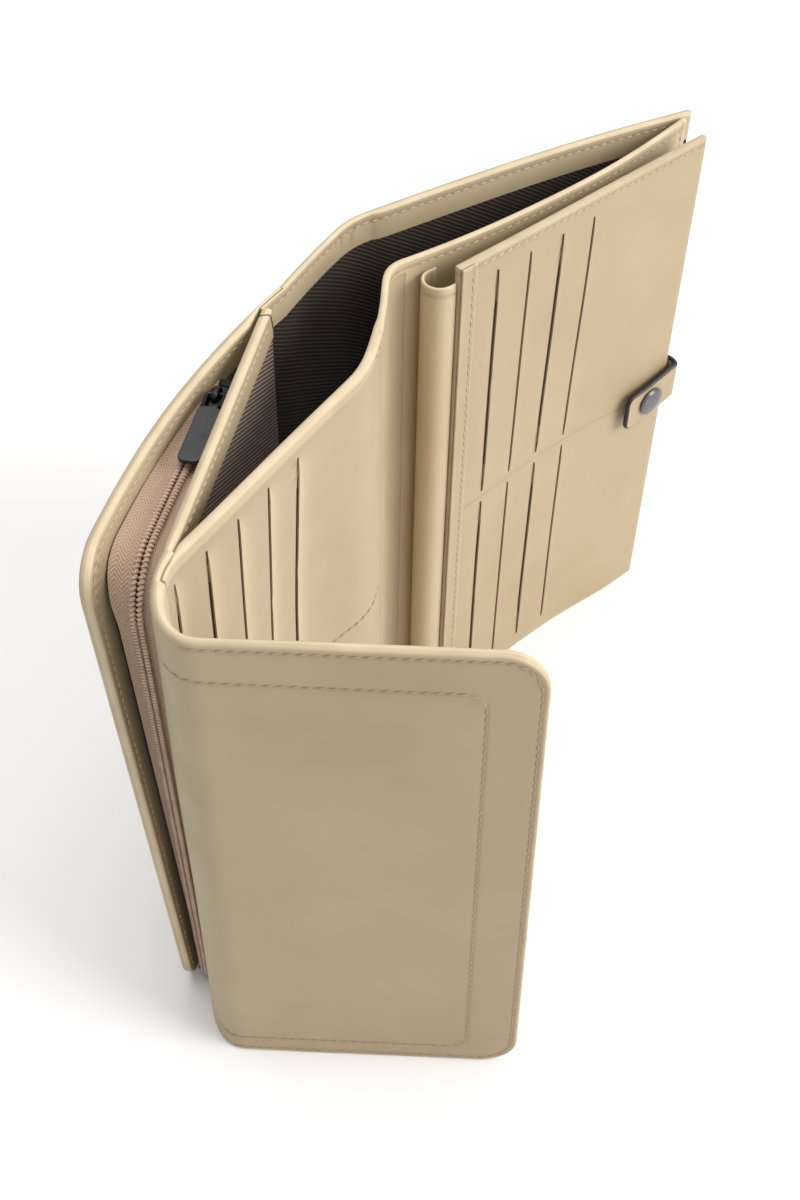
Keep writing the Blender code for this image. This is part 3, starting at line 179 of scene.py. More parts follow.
@dataclass(frozen=True)
class Track:
    """A line in plan, with its length along it and its left-hand normal.

    Attributes:
        points: Places in plan, one row each.
        angles: Heading at each point, in radians and without jumps.
    """

    points: Array
    angles: Array

    @classmethod
    def through(cls, points: Array) -> Track:
        """Track through points: a point's heading is that of the chord between its two neighbours."""
        chord = np.gradient(points, axis=0)
        return cls(points, np.unwrap(np.arctan2(chord[:, 1], chord[:, 0])))

    @classmethod
    def drawn(cls, start: Array, heading: float, pieces: Sequence[tuple[float, float]],
              step: float = 0.001) -> Track:
        """Arcs laid end to end.

        Each arc turns evenly: its heading grows in proportion to the length run, and the places are the
        running sum of short steps along that heading.

        Args:
            start: Place in plan where it starts.
            heading: Heading at the start.
            pieces: Length and turn of each arc.
            step: Longest step.

        Returns:
            The track.
        """
        turns: list[Array] = []
        steps: list[Array] = []
        for length, turn in pieces:
            count = max(2, math.ceil(length / step))
            turns.append(heading + turn * (np.arange(count) + 0.5) / count)
            steps.append(np.full(count, length / count))
            heading += turn
        angle = np.radians(np.concatenate(turns))
        move = np.concatenate(steps)[:, None] * np.stack([np.cos(angle), np.sin(angle)], axis=1)
        return cls.through(np.vstack([start, start + np.cumsum(move, axis=0)]))

    @classmethod
    def cubic(cls, start: Array, leaving: float, end: Array, arriving: float, handles: tuple[float, float],
              count: int = 48) -> Track:
        """One cubic curve between two places.

        The curve is the sum of the four control points, each times its share: (1-t)^3, 3t(1-t)^2, 3t^2(1-t)
        and t^3; the handles are shares of the distance between the ends.

        Args:
            start: Its first place.
            leaving: Heading there.
            end: Its last place.
            arriving: Heading there.
            handles: Length of the two handles, as shares.
            count: Number of steps.

        Returns:
            The track.
        """
        span = float(np.linalg.norm(end - start))
        first = start + heading_vector(leaving) * span * handles[0]
        second = end - heading_vector(arriving) * span * handles[1]
        t = np.linspace(0.0, 1.0, count + 1)[:, None]
        rest = 1.0 - t
        return cls.through(start * rest**3 + first * 3 * rest**2 * t + second * 3 * rest * t**2 + end * t**3)

    @property
    def marks(self) -> Array:
        """Length along the track at each point."""
        return running_length(self.points)

    @property
    def length(self) -> float:
        """Whole length."""
        return float(self.marks[-1])

    def at(self, along: Array, offset: Array | float = 0.0) -> Array:
        """Places at lengths along the track and offsets to its left; it runs on straight past its ends.

        Args:
            along: Lengths along the track.
            offset: Offsets to the left.

        Returns:
            Places in plan, with a last axis of two.
        """
        along = np.asarray(along, float)
        marks = self.marks
        angle = np.interp(along, marks, self.angles)
        tangent = np.stack([np.cos(angle), np.sin(angle)], axis=-1)
        inside = np.clip(along, 0.0, marks[-1])
        place = np.stack([np.interp(inside, marks, self.points[:, k]) for k in (0, 1)], axis=-1)
        place = place + tangent * (along - inside)[..., None]
        normal = np.stack([-tangent[..., 1], tangent[..., 0]], axis=-1)
        return place + normal * (np.asarray(offset, float) + np.zeros_like(along))[..., None]

    def shifted(self, offset: float) -> Track:
        """The line that runs beside this one at an offset to its left."""
        return Track.through(self.at(self.marks, offset))

    def turned_round(self) -> Track:
        """The same line, run the other way."""
        return Track.through(self.points[::-1])

    def then(self, other: Track) -> Track:
        """This track and another one that starts where it ends."""
        return Track.through(np.vstack([self.points, other.points[1:]]))


def layers(anchor: float, *thicknesses: float) -> list[tuple[float, float]]:
    """Offsets of sheets that lie side by side from the anchor to the left, a clearance apart."""
    found: list[tuple[float, float]] = []
    for thickness in thicknesses:
        found.append((anchor, anchor + thickness))
        anchor += thickness + CLEARANCE
    return found


def stack(*thicknesses: float) -> list[tuple[float, float]]:
    """Offsets of sheets whose pile is centred on the track."""
    total = sum(thicknesses) + CLEARANCE * (len(thicknesses) - 1)
    return layers(-total / 2, *thicknesses)


@dataclass
class Plan:
    """The wallet's tracks, with the sizes of the solids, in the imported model's place.

    A heading is that at a track's start, and a turn is how far the whole track turns from there.
    """

    zip_length: float = 0.1118
    zip_heading: float = 236.7
    zip_turn: float = 27.0
    zip_corner: float = 0.0120
    # Lean of the zip panel's free edge at its top and at its base, each with the power of its growth
    top_lean: tuple[float, float] = (-0.0019, 5.0)
    base_lean: tuple[float, float] = (0.0076, 1.5)
    spine_heading: float = 65.0
    # Length and turn of each arc; the same for the card panel
    spine_pieces: tuple[tuple[float, float], ...] = ((0.0300, -5.0), (0.0130, -27.0))
    back_length: float = 0.1118
    back_heading: float = 34.5
    back_turn: float = -7.6
    back_end_inset: float = 0.0035
    tip_from_crease: tuple[float, float] = (-0.00265, -0.0104)
    divider_length: float = 0.0925
    divider_heading: float = 79.5
    card_pieces: tuple[tuple[float, float], ...] = (
        (0.0090, -29.4), (0.0710, 0.0), (0.0120, 20.0), (0.0140, 5.0))
    card_from_divider: tuple[float, float] = (0.0001, -0.0053)
    card_heading: float = 87.6
    # Handles of the inner corner's curve, as shares of the distance that it spans; the same for the folds
    corner_handles: tuple[float, float] = (0.62, 0.30)
    document_length: float = 0.1132
    document_heading: float = 41.5
    document_turn: float = 18.0
    roll_at: float = 0.0095
    roll_radius: float = 0.0046
    roll_tail: float = 0.0020
    roll_leather: float = 0.0010
    leaf_length: float = 0.1010
    leaf_heading: float = 42.4
    flap_length: float = 0.0810
    flap_heading: float = -1.5
    fold_from_divider: tuple[float, float] = (0.0106, -0.0111)
    fold_radius: float = 0.0110
    fold_handles: tuple[float, float] = (0.39, 0.39)
    leather: float = 0.0010
    card_leather: float = 0.0009
    facing_leather: float = 0.0007
    lining: float = 0.0005
    board: float = 0.0005
    inner_fold_half: float = 0.00045
    # Least and greatest thickness of the front fold
    fold_thickness: tuple[float, float] = (0.0003, 0.012)
    # Where the spine starts and stops to bend, past its end
    spine_bend_past: tuple[float, float] = (-0.012, 0.004)
    floor_bend_half: float = 0.0065
    shift: Array = field(default_factory=plan_shift)

    def __post_init__(self) -> None:
        """Works out every track from the sizes."""
        crease = np.array(CREASE_IN_PLAN) + self.shift
        self.zip_panel = Track.drawn(crease, self.zip_heading, ((self.zip_length, self.zip_turn),))
        self.spine = Track.drawn(crease, self.spine_heading, self.spine_pieces)
        self.back = Track.drawn(self.spine.points[-1], self.back_heading,
                                ((self.back_length, self.back_turn),))
        self.cover = self.spine.then(self.back)
        tip = crease + np.array(self.tip_from_crease)
        start = tip - heading_vector(self.divider_heading) * self.divider_length
        self.divider = Track.drawn(start, self.divider_heading, ((self.divider_length, 0.0),))
        self.card = Track.drawn(start + np.array(self.card_from_divider), self.card_heading, self.card_pieces)
        fold_centre = start + np.array(self.fold_from_divider)
        flap_start = fold_centre + heading_vector(self.flap_heading - 90) * self.fold_radius
        self.flap = Track.drawn(flap_start, self.flap_heading, ((self.flap_length, 0.0),))
        self.divider_layers = stack(self.facing_leather, self.board, self.leather)
        self.card_layers = stack(self.card_leather, self.lining, self.facing_leather)
        self.document_layers = stack(self.card_leather, self.facing_leather)
        self.flap_layers = stack(self.leather, self.board, self.facing_leather, self.lining)
        self.cover_depth = layers(0.0, self.leather, self.board, self.facing_leather)[2][1]
        half = self.document_layers[-1][1]
        seat = self.back.at(self.back_length - self.back_end_inset, -(self.cover_depth + CLEARANCE + half))
        leaving = self.document_heading - self.document_turn / 2
        arc = ((self.document_length, self.document_turn),)
        trial = Track.drawn(seat, leaving, arc)
        self.document = Track.drawn(2 * seat - trial.points[-1], leaving, arc)
        ends = [math.degrees(track.angles[end]) for track, end in ((self.card, -1), (self.document, 0))]
        self.corner = Track.cubic(self.card.points[-1], ends[0], self.document.points[0], ends[1],
                                  self.corner_handles)
        face = self.document_layers[0][0] - CLEARANCE - self.roll_leather / 2
        away = math.degrees(float(np.interp(self.roll_at, self.document.marks, self.document.angles))) + 180
        turn = self.leaf_heading + 360 - away
        bend = math.radians(turn) * self.roll_radius
        pieces = ((self.roll_tail, 0.0), (bend, turn), (self.roll_tail, 0.0))
        self.roll = Track.drawn(self.document.at(np.array(self.roll_at), face), away, pieces, 0.0004)
        leaf_start = self.roll.at(np.array(self.roll.length + CLEARANCE))
        self.leaf = Track.drawn(leaf_start, self.leaf_heading, ((self.leaf_length, 0.0),))
        self.wrap = self.wrap_track()
        self.inner_fold = self.inner_fold_track()

    def wrap_track(self) -> Track:
        """Middle of the one leather that runs down the divider, round the front fold and along the flap."""
        down = self.divider.shifted(sum(self.divider_layers[2]) / 2).turned_round()
        along = self.flap.shifted(sum(self.flap_layers[0]) / 2)
        self.wrap_fold_start = down.length
        leaving, arriving = self.divider_heading + 180, self.flap_heading + 360
        fold = Track.cubic(down.points[-1], leaving, along.points[0], arriving, self.fold_handles)
        self.wrap_flap_start = down.length + fold.length
        return down.then(fold).then(along)

    def inner_fold_track(self) -> Track:
        """Middle of the leather that lines the front fold, from the card panel to the flap."""
        start = self.card.at(np.array(-CLEARANCE), sum(self.card_layers[0]) / 2)
        end = self.flap.at(np.array(0.0), sum(self.flap_layers[2]) / 2)
        return Track.cubic(start, self.card_heading + 180, end, self.flap_heading + 360, self.fold_handles)

    def to_inner_skin(self) -> Level:
        """How far the wrap's middle lies from the inner face of the fold, at lengths along the wrap.

        The skin is one line of places: the back of the card panel's leather, the fold's inner leather and
        the flap's lining. Each length's answer is the offset of the skin's place that lies most nearly square
        to it.
        """
        sheet, (thinnest, thickest) = self.inner_fold_half, self.fold_thickness
        skin = np.vstack([self.card.at(np.linspace(0.030, 0.0, 240), self.card_layers[0][1]),
                          self.inner_fold.at(np.linspace(0.0, self.inner_fold.length, 400), sheet),
                          self.flap.at(np.linspace(0.0, 0.006, 60), self.flap_layers[2][1])])
        marks = np.linspace(self.wrap_fold_start - 0.024, self.wrap_flap_start + 0.003, 320)
        place, ahead = self.wrap.at(marks), self.wrap.at(marks + 0.0002) - self.wrap.at(marks - 0.0002)
        ahead = ahead / np.linalg.norm(ahead, axis=1, keepdims=True)
        left = np.stack([-ahead[:, 1], ahead[:, 0]], axis=1)
        away = skin[None] - place[:, None]
        run, side = (away * ahead[:, None]).sum(-1), (away * left[:, None]).sum(-1)
        nearest = np.argmin(np.abs(run) + 1.0 * ((side < thinnest) | (side > thickest)), axis=1)
        found = side[np.arange(len(marks)), nearest]
        return lambda along: np.interp(along, marks, found)

    def spine_bend(self) -> tuple[Array, Array]:
        """Where the cover starts and stops to bend between the middle and the back wing."""
        first, last = (self.cover.at(np.array(self.spine.length + past)) for past in self.spine_bend_past)
        return at_height(first), at_height(last)

    def floor_bend(self) -> tuple[Array, Array]:
        """The same for the floor, square to the line from the panels' crotch to the spine's bend."""
        bend_middle = self.spine.length + sum(self.spine_bend_past) / 2
        crotch, turn = self.corner.points[-1], self.cover.at(np.array(bend_middle))
        way = (turn - crotch) / np.linalg.norm(turn - crotch)
        across = self.floor_bend_half * np.array([way[1], -way[0]])
        middle = (crotch + turn) / 2
        return at_height(middle - across), at_height(middle + across)

    def leaning(self, along: Array, height: Array, offset: Array | float) -> Array:
        """Places in plan on the zip panel, whose free edge leans out at the top and in at the base.

        The lean, towards +X, is top * rise * share^a + base * (1 - rise) * share^b, with share the part of
        the panel's length, and rise the part of its height.

        Args:
            along: Lengths along the panel.
            height: Heights.
            offset: Offsets from the panel's outer face.

        Returns:
            Places in plan, with a last axis of two.
        """
        share = np.clip(along / self.zip_length, 0.0, None)
        rise = height / HEIGHT
        lean = self.top_lean[0] * rise * share ** self.top_lean[1]
        lean = lean + self.base_lean[0] * (1.0 - rise) * share ** self.base_lean[1]
        plan = self.zip_panel.at(along, offset)
        return np.stack([plan[..., 0] + lean, plan[..., 1] + 0.0 * lean], axis=-1)

    def zip_place(self, along: Array, height: Array, offset: Array) -> Array:
        """Place in the world on the zip panel."""
        return raised(self.leaning(along, height, offset), height)

    def pocket(self, along: Array, height: Array | float) -> tuple[Array, Array]:
        """The zip pocket's two walls, the panel's and the divider's, at lengths along and a height."""
        outer = self.leaning(along, height, self.cover_depth + CLEARANCE)
        gone = along - math.hypot(*self.tip_from_crease)
        inner = self.divider.at(self.divider_length - gone, self.divider_layers[-1][1] + CLEARANCE)
        return outer, inner


# Finishes


class NodeSheet:
    """A material's node tree, with short calls for the nodes that the finishes share."""

    def __init__(self, name: str) -> None:
        """Makes an empty Principled material.

        Args:
            name: The material's name.
        """
        self.material = bpy.data.materials.new(name)
        self.material.use_nodes = True
        self.tree = self.material.node_tree
        self.shader = self.tree.nodes["Principled BSDF"]
        self.coordinates = self.tree.nodes.new("ShaderNodeTexCoord")
        self.place = self.coordinates.outputs["Object"]
        self.flat = self.coordinates.outputs["UV"]

    def link(self, source: bpy.types.NodeSocket, target: bpy.types.NodeSocket) -> None:
        """Joins two sockets."""
        self.tree.links.new(source, target)

    def node(self, kind: str, **settings: object) -> bpy.types.Node:
        """New node: a setting that names an input gives it a value or a link; others are set on the node.

        Args:
            kind: Blender's name of the node.
            settings: Inputs by name, with _ for a blank, or attributes in lower case.

        Returns:
            The node.
        """
        made = self.tree.nodes.new(kind)
        for key, value in settings.items():
            socket = made.inputs.get(key.replace("_", " ")) if key[0].isupper() else None
            if socket is None:
                setattr(made, key, value)
            elif isinstance(value, bpy.types.NodeSocket):
                self.link(value, socket)
            else:
                socket.default_value = value
        return made

    def noise(self, scale: float, detail: float = 2.0, place: bpy.types.NodeSocket | None = None,
              roughness: float = 0.5) -> bpy.types.NodeSocket:
        """Noise on the object's place, from 0 to 1."""
        made = self.node("ShaderNodeTexNoise", Vector=place or self.place, Scale=scale, Detail=detail,
                         Roughness=roughness)
        return made.outputs["Fac"]

    def cells(self, scale: float, feature: str = "F1") -> bpy.types.NodeSocket:
        """Distance to the nearest grain of a leather pattern."""
        made = self.node("ShaderNodeTexVoronoi", Vector=self.place, Scale=scale, feature=feature)
        return made.outputs["Distance"]

    def math(self, operation: str, first: object, second: object = 0.0) -> bpy.types.NodeSocket:
        """One sum on two values or sockets."""
        made = self.tree.nodes.new("ShaderNodeMath")
        made.operation = operation
        for socket, value in zip(made.inputs, (first, second)):
            if isinstance(value, bpy.types.NodeSocket):
                self.link(value, socket)
            else:
                socket.default_value = value
        return made.outputs[0]

    def span(self, value: bpy.types.NodeSocket, low: float, high: float, start: float = 0.0,
             end: float = 1.0) -> bpy.types.NodeSocket:
        """Value moved from the span start to end, to the span low to high."""
        made = self.node("ShaderNodeMapRange", Value=value)
        for name, number in (("From Min", start), ("From Max", end), ("To Min", low), ("To Max", high)):
            made.inputs[name].default_value = number
        return made.outputs[0]

    def mix(self, share: object, first: object, second: object) -> bpy.types.NodeSocket:
        """Mix of two colours."""
        made = self.tree.nodes.new("ShaderNodeMix")
        made.data_type = "RGBA"
        for name, value in (("Factor_Float", share), ("A_Color", first), ("B_Color", second)):
            socket = next(item for item in made.inputs if item.identifier == name)
            if isinstance(value, bpy.types.NodeSocket):
                self.link(value, socket)
            else:
                socket.default_value = value if name == "Factor_Float" else (*value, 1.0)
        return next(item for item in made.outputs if item.identifier == "Result_Color")

    def attribute(self, name: str) -> bpy.types.NodeSocket:
        """A mesh's own painted value."""
        return self.node("ShaderNodeAttribute", attribute_name=name).outputs["Fac"]

    def raise_by(self, height: bpy.types.NodeSocket, strength: float, distance: float) -> None:
        """Bump, laid over any bump that the shader has already."""
        normal = self.shader.inputs["Normal"]
        made = self.node("ShaderNodeBump", Height=height, Strength=strength, Distance=distance)
        if normal.links:
            self.link(normal.links[0].from_socket, made.inputs["Normal"])
        self.link(made.outputs["Normal"], normal)

    def set(self, **values: object) -> None:
        """Sets or links the shader's inputs, with _ for a blank in a name."""
        for key, value in values.items():
            socket = self.shader.inputs[key.replace("_", " ")]
            if isinstance(value, bpy.types.NodeSocket):
                self.link(value, socket)
            else:
                socket.default_value = (*value, 1.0) if isinstance(value, tuple) else value


@dataclass(frozen=True)
class Leather:
    """Smooth dyed leather: soft clouds of colour, a fine closed grain, paler worn rims, and painted shade at
    the foot of channels and slits.

    Attributes:
        name: The material's name.
        colour: Its main colour.
        shade: The darker colour of its clouds.
        worn: The paler colour of its rims.
        roughness: Of its surface.
        grain: How strongly the grain shows.
        clouds: Scale of the clouds; the next five are those of the specks, the wear, the gloss, the small
            folds and the pores.
        recess_shade: How dark the painted shade at the foot of a channel or slit is, as a share of the shade.
    """

    name: str
    colour: tuple[float, float, float]
    shade: tuple[float, float, float]
    worn: tuple[float, float, float]
    roughness: float = 0.50
    grain: float = 0.16
    clouds: float = 26.0
    specks: float = 520.0
    wear: float = 90.0
    gloss: float = 60.0
    folds: float = 230.0
    pores: float = 1500.0
    recess_shade: float = 0.34

    def build(self) -> bpy.types.Material:
        """The leather's material."""
        sheet = NodeSheet(self.name)
        clouds = sheet.noise(self.clouds, 3.0)
        colour = sheet.mix(sheet.span(clouds, 0.0, 1.0, 0.34, 0.68), self.colour, self.shade)
        specks = sheet.noise(self.specks, 2.0)
        colour = sheet.mix(sheet.span(specks, 0.0, 0.16, 0.45, 0.75), colour, self.shade)
        rim = sheet.attribute("rim")
        worn = sheet.math("MULTIPLY", rim, sheet.span(sheet.noise(self.wear, 3.0), 0.25, 0.85, 0.3, 0.7))
        colour = sheet.mix(worn, colour, self.worn)
        # Painted shade: the colour darkens towards the shade where the face sinks into a channel, a slit or a
        # step
        colour = sheet.mix(sheet.attribute("recess_shade"), colour, tuple(self.recess_shade * part for part in self.shade))
        gloss = sheet.noise(self.gloss, 4.0)
        rough = sheet.span(gloss, self.roughness - 0.06, self.roughness + 0.09, 0.3, 0.7)
        sheet.set(Base_Color=colour, Roughness=rough, Specular_IOR_Level=0.42)
        sheet.raise_by(sheet.noise(self.folds, 4.0, roughness=0.62), 0.30, 0.00016)
        sheet.raise_by(sheet.cells(self.pores), self.grain, 0.00012)
        return sheet.material


@dataclass(frozen=True)
class Twill:
    """Dark lining cloth with fine pale ribs that cross it at a slant.

    Attributes:
        name: The material's name.
        dark: Colour of the ground.
        pale: Colour of the ribs.
        slant: Of the ribs, in degrees.
        pitch: From one rib to the next.
        thread: From one cross thread to the next.
    """

    name: str
    dark: tuple[float, float, float]
    pale: tuple[float, float, float]
    slant: float
    pitch: float = 0.00115
    thread: float = 0.00042

    def build(self) -> bpy.types.Material:
        """The cloth's material: bands of a sine across the slant, broken up by the cross threads."""
        sheet = NodeSheet(self.name)
        turned = sheet.node("ShaderNodeMapping", Vector=sheet.flat, vector_type="POINT")
        turned.inputs["Rotation"].default_value = (0.0, 0.0, math.radians(self.slant))
        parts = sheet.node("ShaderNodeSeparateXYZ", Vector=turned.outputs[0])
        rib = sheet.math("SINE", sheet.math("MULTIPLY", parts.outputs[1], math.tau / self.pitch))
        thread = sheet.math("SINE", sheet.math("MULTIPLY", parts.outputs[0], math.tau / self.thread))
        rib = sheet.math("ADD", rib, sheet.math("MULTIPLY", thread, 0.22))
        faded = sheet.span(sheet.noise(900.0), 0.6, 1.0)
        share = sheet.math("MULTIPLY", sheet.span(rib, 0.0, 1.0, 0.15, 0.95), faded)
        colour = sheet.mix(share, self.dark, self.pale)
        sheet.set(Base_Color=colour, Roughness=0.72, Specular_IOR_Level=0.25, Sheen_Weight=0.10)
        sheet.raise_by(rib, 0.35, 0.00018)
        return sheet.material


@dataclass(frozen=True)
class Tape:
    """Woven zip tape: a herringbone of slanting threads, in bands that run along it."""

    name: str
    colour: tuple[float, float, float]
    shade: tuple[float, float, float]
    band: float = 0.0022
    thread: float = 0.00115

    def build(self) -> bpy.types.Material:
        """The tape's material: a sine along it, pushed on by the distance to the nearest band's edge."""
        sheet = NodeSheet(self.name)
        parts = sheet.node("ShaderNodeSeparateXYZ", Vector=sheet.flat)
        fold = sheet.math("PINGPONG", parts.outputs[1], self.band)
        run = sheet.math("ADD", parts.outputs[0], fold)
        weave = sheet.math("SINE", sheet.math("MULTIPLY", run, math.tau / self.thread))
        faded = sheet.span(sheet.noise(700.0), 0.7, 1.0)
        share = sheet.math("MULTIPLY", sheet.span(weave, 0.0, 0.95, -0.9, 0.4), faded)
        colour = sheet.mix(share, self.shade, self.colour)
        sheet.set(Base_Color=colour, Roughness=0.78, Specular_IOR_Level=0.2, Sheen_Weight=0.15)
        sheet.raise_by(weave, 0.6, 0.00030)
        return sheet.material


@dataclass(frozen=True)
class Thread:
    """Twisted sewing thread, with a faint sheen."""

    name: str
    colour: tuple[float, float, float]
    shade: tuple[float, float, float]
    ply: float = 0.00045

    def build(self) -> bpy.types.Material:
        """The thread's material: slanting plies along each stitch."""
        sheet = NodeSheet(self.name)
        parts = sheet.node("ShaderNodeSeparateXYZ", Vector=sheet.flat)
        run = sheet.math("ADD", parts.outputs[0], parts.outputs[1])
        ply = sheet.math("SINE", sheet.math("MULTIPLY", run, math.tau / self.ply))
        colour = sheet.mix(sheet.span(ply, 0.0, 1.0, -1.0, 0.4), self.shade, self.colour)
        sheet.set(Base_Color=colour, Roughness=0.62, Sheen_Weight=0.1)
        sheet.raise_by(ply, 0.4, 0.0001)
        return sheet.material


@dataclass(frozen=True)
class Hard:
    """Metal, paint or moulded plastic, with faint handling marks in its gloss."""

    name: str
    colour: tuple[float, float, float]
    roughness: float
    metallic: float = 0.0
    coat: float = 0.0
    marks: float = 240.0
    scratches: float = 1100.0

    def build(self) -> bpy.types.Material:
        """The hard finish's material."""
        sheet = NodeSheet(self.name)
        dull = tuple(0.72 * part for part in self.colour)
        cloud = sheet.noise(self.marks, 3.0)
        colour = sheet.mix(sheet.span(cloud, 0.0, 1.0, 0.35, 0.75), self.colour, dull)
        rough = sheet.span(cloud, self.roughness - 0.05, self.roughness + 0.10, 0.3, 0.7)
        sheet.set(Base_Color=colour, Roughness=rough, Metallic=self.metallic, Coat_Weight=self.coat,
                  Coat_Roughness=0.12)
        sheet.raise_by(sheet.noise(self.scratches, 2.0), 0.12, 0.00005)
        return sheet.material


class Finish(Enum):
    """Every finish of the wallet."""

    # COVER and INNER are one cream leather: the cover's copy is darker, partly as painted shade on the outer
    # faces, and the inner copy lighter, partly as painted light on the inner faces
    COVER = Leather("cover_cream_painted_shade", (0.405, 0.316, 0.190), (0.372, 0.284, 0.166), (0.560, 0.460, 0.305))
    INNER = Leather("inner_cream_painted_light", (0.525, 0.425, 0.276), (0.485, 0.384, 0.242), (0.640, 0.540, 0.375))
    LEAF = Leather("leaf_beige", (0.415, 0.328, 0.204), (0.384, 0.298, 0.181), (0.550, 0.450, 0.305))
    STRAP = Leather("strap_beige", (0.410, 0.322, 0.205), (0.378, 0.292, 0.182), (0.410, 0.322, 0.205))
    RAW_EDGE = Leather("raw_edge_grey", (0.270, 0.250, 0.235), (0.170, 0.155, 0.145), (0.460, 0.410, 0.340),
                       0.75)
    CUT = Leather("cut_edge_brown", (0.190, 0.112, 0.058), (0.120, 0.068, 0.036), (0.220, 0.140, 0.080), 0.75)
    EDGE_PAINT = Hard("edge_paint_black", (0.008, 0.007, 0.007), 0.42)
    TWILL = Twill("lining_twill", (0.085, 0.052, 0.042), (0.620, 0.450, 0.360), 30.0)
    # A much darker copy of the lining twill, for the back lining and the floors deep inside the pockets:
    # painted shade
    FLAT_TWILL = Twill("back_twill_painted_shade", (0.016, 0.010, 0.008), (0.115, 0.082, 0.063), 34.0)
    TAPE = Tape("zip_tape_rose", (0.640, 0.470, 0.340), (0.450, 0.315, 0.220))
    COIL = Hard("zip_coil_rose", (0.560, 0.395, 0.300), 0.42)
    THREAD = Thread("thread_cream", (0.600, 0.500, 0.345), (0.440, 0.350, 0.225))
    TONAL_THREAD = Thread("thread_tan", (0.410, 0.320, 0.195), (0.300, 0.230, 0.135))
    GUNMETAL = Hard("gunmetal", (0.030, 0.029, 0.030), 0.24, 1.0)
    CHARCOAL = Hard("charcoal_plate", (0.050, 0.049, 0.049), 0.38, 0.6)
    NICKEL = Hard("dark_nickel", (0.170, 0.166, 0.166), 0.17, 1.0)

    def material(self) -> bpy.types.Material:
        """This finish's one material, made when it is first asked for."""
        return bpy.data.materials.get(self.value.name) or self.value.build()


# Meshes

Region = tuple[Finish, Callable[[Array, Array, Array], Array]]
MILLI = 0.001
SHARP_ANGLE = math.radians(52)
# Lines of vertices near an edge, and the least gap between two lines
EDGE_INSETS = (0.00006, 0.0002, 0.00042, 0.0008, 0.0013, 0.0022)
LEAST_GAP = 0.00002
# How much steeper a square cut rises, and how far in from an edge relief has its full height
SQUARE_SHARE = 12.0
RELIEF_EASE = 0.0005
# Depth at which the painted shade in a channel or slit is darkest, and how far in from an edge wear fades
RECESS_SHADE_DEPTH = 0.0005
WORN_REACH = 0.0007


def signed_volume(points: Array, faces: Array) -> float:
    """Six times the volume inside a closed mesh of four-sided faces, as a sum of triple products."""
    a, b, c, d = (points[faces[:, k]] for k in range(4))
    return float((a * np.cross(b, c)).sum() + (a * np.cross(c, d)).sum())


def new_piece(name: str, points: Array, faces: Array, finishes: Sequence[Finish], index: Array | None = None,
              flat: Array | None = None, values: dict[str, Array] | None = None) -> bpy.types.Object:
    """Object from arrays; a four-sided face whose last corner repeats the third is a triangle.

    Args:
        name: The piece's name.
        points: Vertex places, one row each.
        faces: Four corner numbers a row.
        finishes: The piece's finishes, in the order of its slots.
        index: Each face's slot.
        flat: Each vertex's place in the flat sheet, in metres.
        values: Painted values of each vertex, by name.

    Returns:
        The object, smooth but for its sharp edges.
    """
    if signed_volume(points - points.mean(axis=0), faces) < 0:
        faces = faces[:, ::-1]
        faces = np.where((faces[:, :1] == faces[:, 1:2]), np.roll(faces, -1, axis=1), faces)
    mesh = bpy.data.meshes.new(name)
    corners = [list(dict.fromkeys(face)) for face in faces.tolist()]
    mesh.from_pydata(points.tolist(), [], corners)
    for finish in finishes:
        mesh.materials.append(finish.material())
    if index is not None:
        mesh.polygons.foreach_set("material_index", index.astype(np.int32))
    if flat is not None:
        loops = np.empty(len(mesh.loops), np.int32)
        mesh.loops.foreach_get("vertex_index", loops)
        layer = mesh.uv_layers.new(name="flat")
        layer.data.foreach_set("uv", flat[loops].ravel())
    # Worn rims and the painted recess shade are zero unless given
    for key, painted in {"rim": None, "recess_shade": None, **(values or {})}.items():
        attribute = mesh.attributes.new(key, "FLOAT", "POINT")
        attribute.data.foreach_set("value", np.zeros(len(points)) if painted is None else painted)
    mesh.polygons.foreach_set("use_smooth", np.ones(len(mesh.polygons), bool))
    mesh.set_sharp_from_angle(angle=SHARP_ANGLE)
    mesh.update()
    piece = bpy.data.objects.new(name, mesh)
    bpy.context.scene.collection.objects.link(piece)
    return piece


def level(*pairs: tuple[float, float]) -> Level:
    """Offset that runs straight from one (along, offset) pair to the next."""
    known = np.array(pairs)
    return lambda along: np.interp(along, known[:, 0], known[:, 1])


def flat_level(offset: float) -> Level:
    """The same offset everywhere."""
    return lambda along: np.full(np.shape(along), offset)


def nowhere(along: Array, height: Array) -> Array:
    """No relief."""
    return np.zeros(np.broadcast(along, height).shape)


def swell(length: float, depth: float, turn: float) -> Relief:
    """Slow waves of a handled panel: three sines of unlike pitch, which fade to nothing at its two ends.

    Args:
        length: The panel's length.
        depth: Size of the largest wave.
        turn: Where the waves start, in radians.

    Returns:
        The waves, as a shift of the whole sheet.
    """

    def wave(along: Array, up: Array) -> Array:
        """Shift at a place."""
        ease = np.sin(np.pi * np.clip(along / length, 0.0, 1.0)) ** 0.7
        first = np.sin(2.1 * np.pi * up / HEIGHT + turn)
        second = 0.6 * np.sin(3.3 * np.pi * up / HEIGHT + 2.6 * np.pi * along / length + 2.0 * turn)
        third = 0.4 * np.sin(5.2 * np.pi * up / HEIGHT - 3.7 * np.pi * along / length + 0.7 * turn)
        return depth * ease * (first + second + third) / 1.6

    return wave


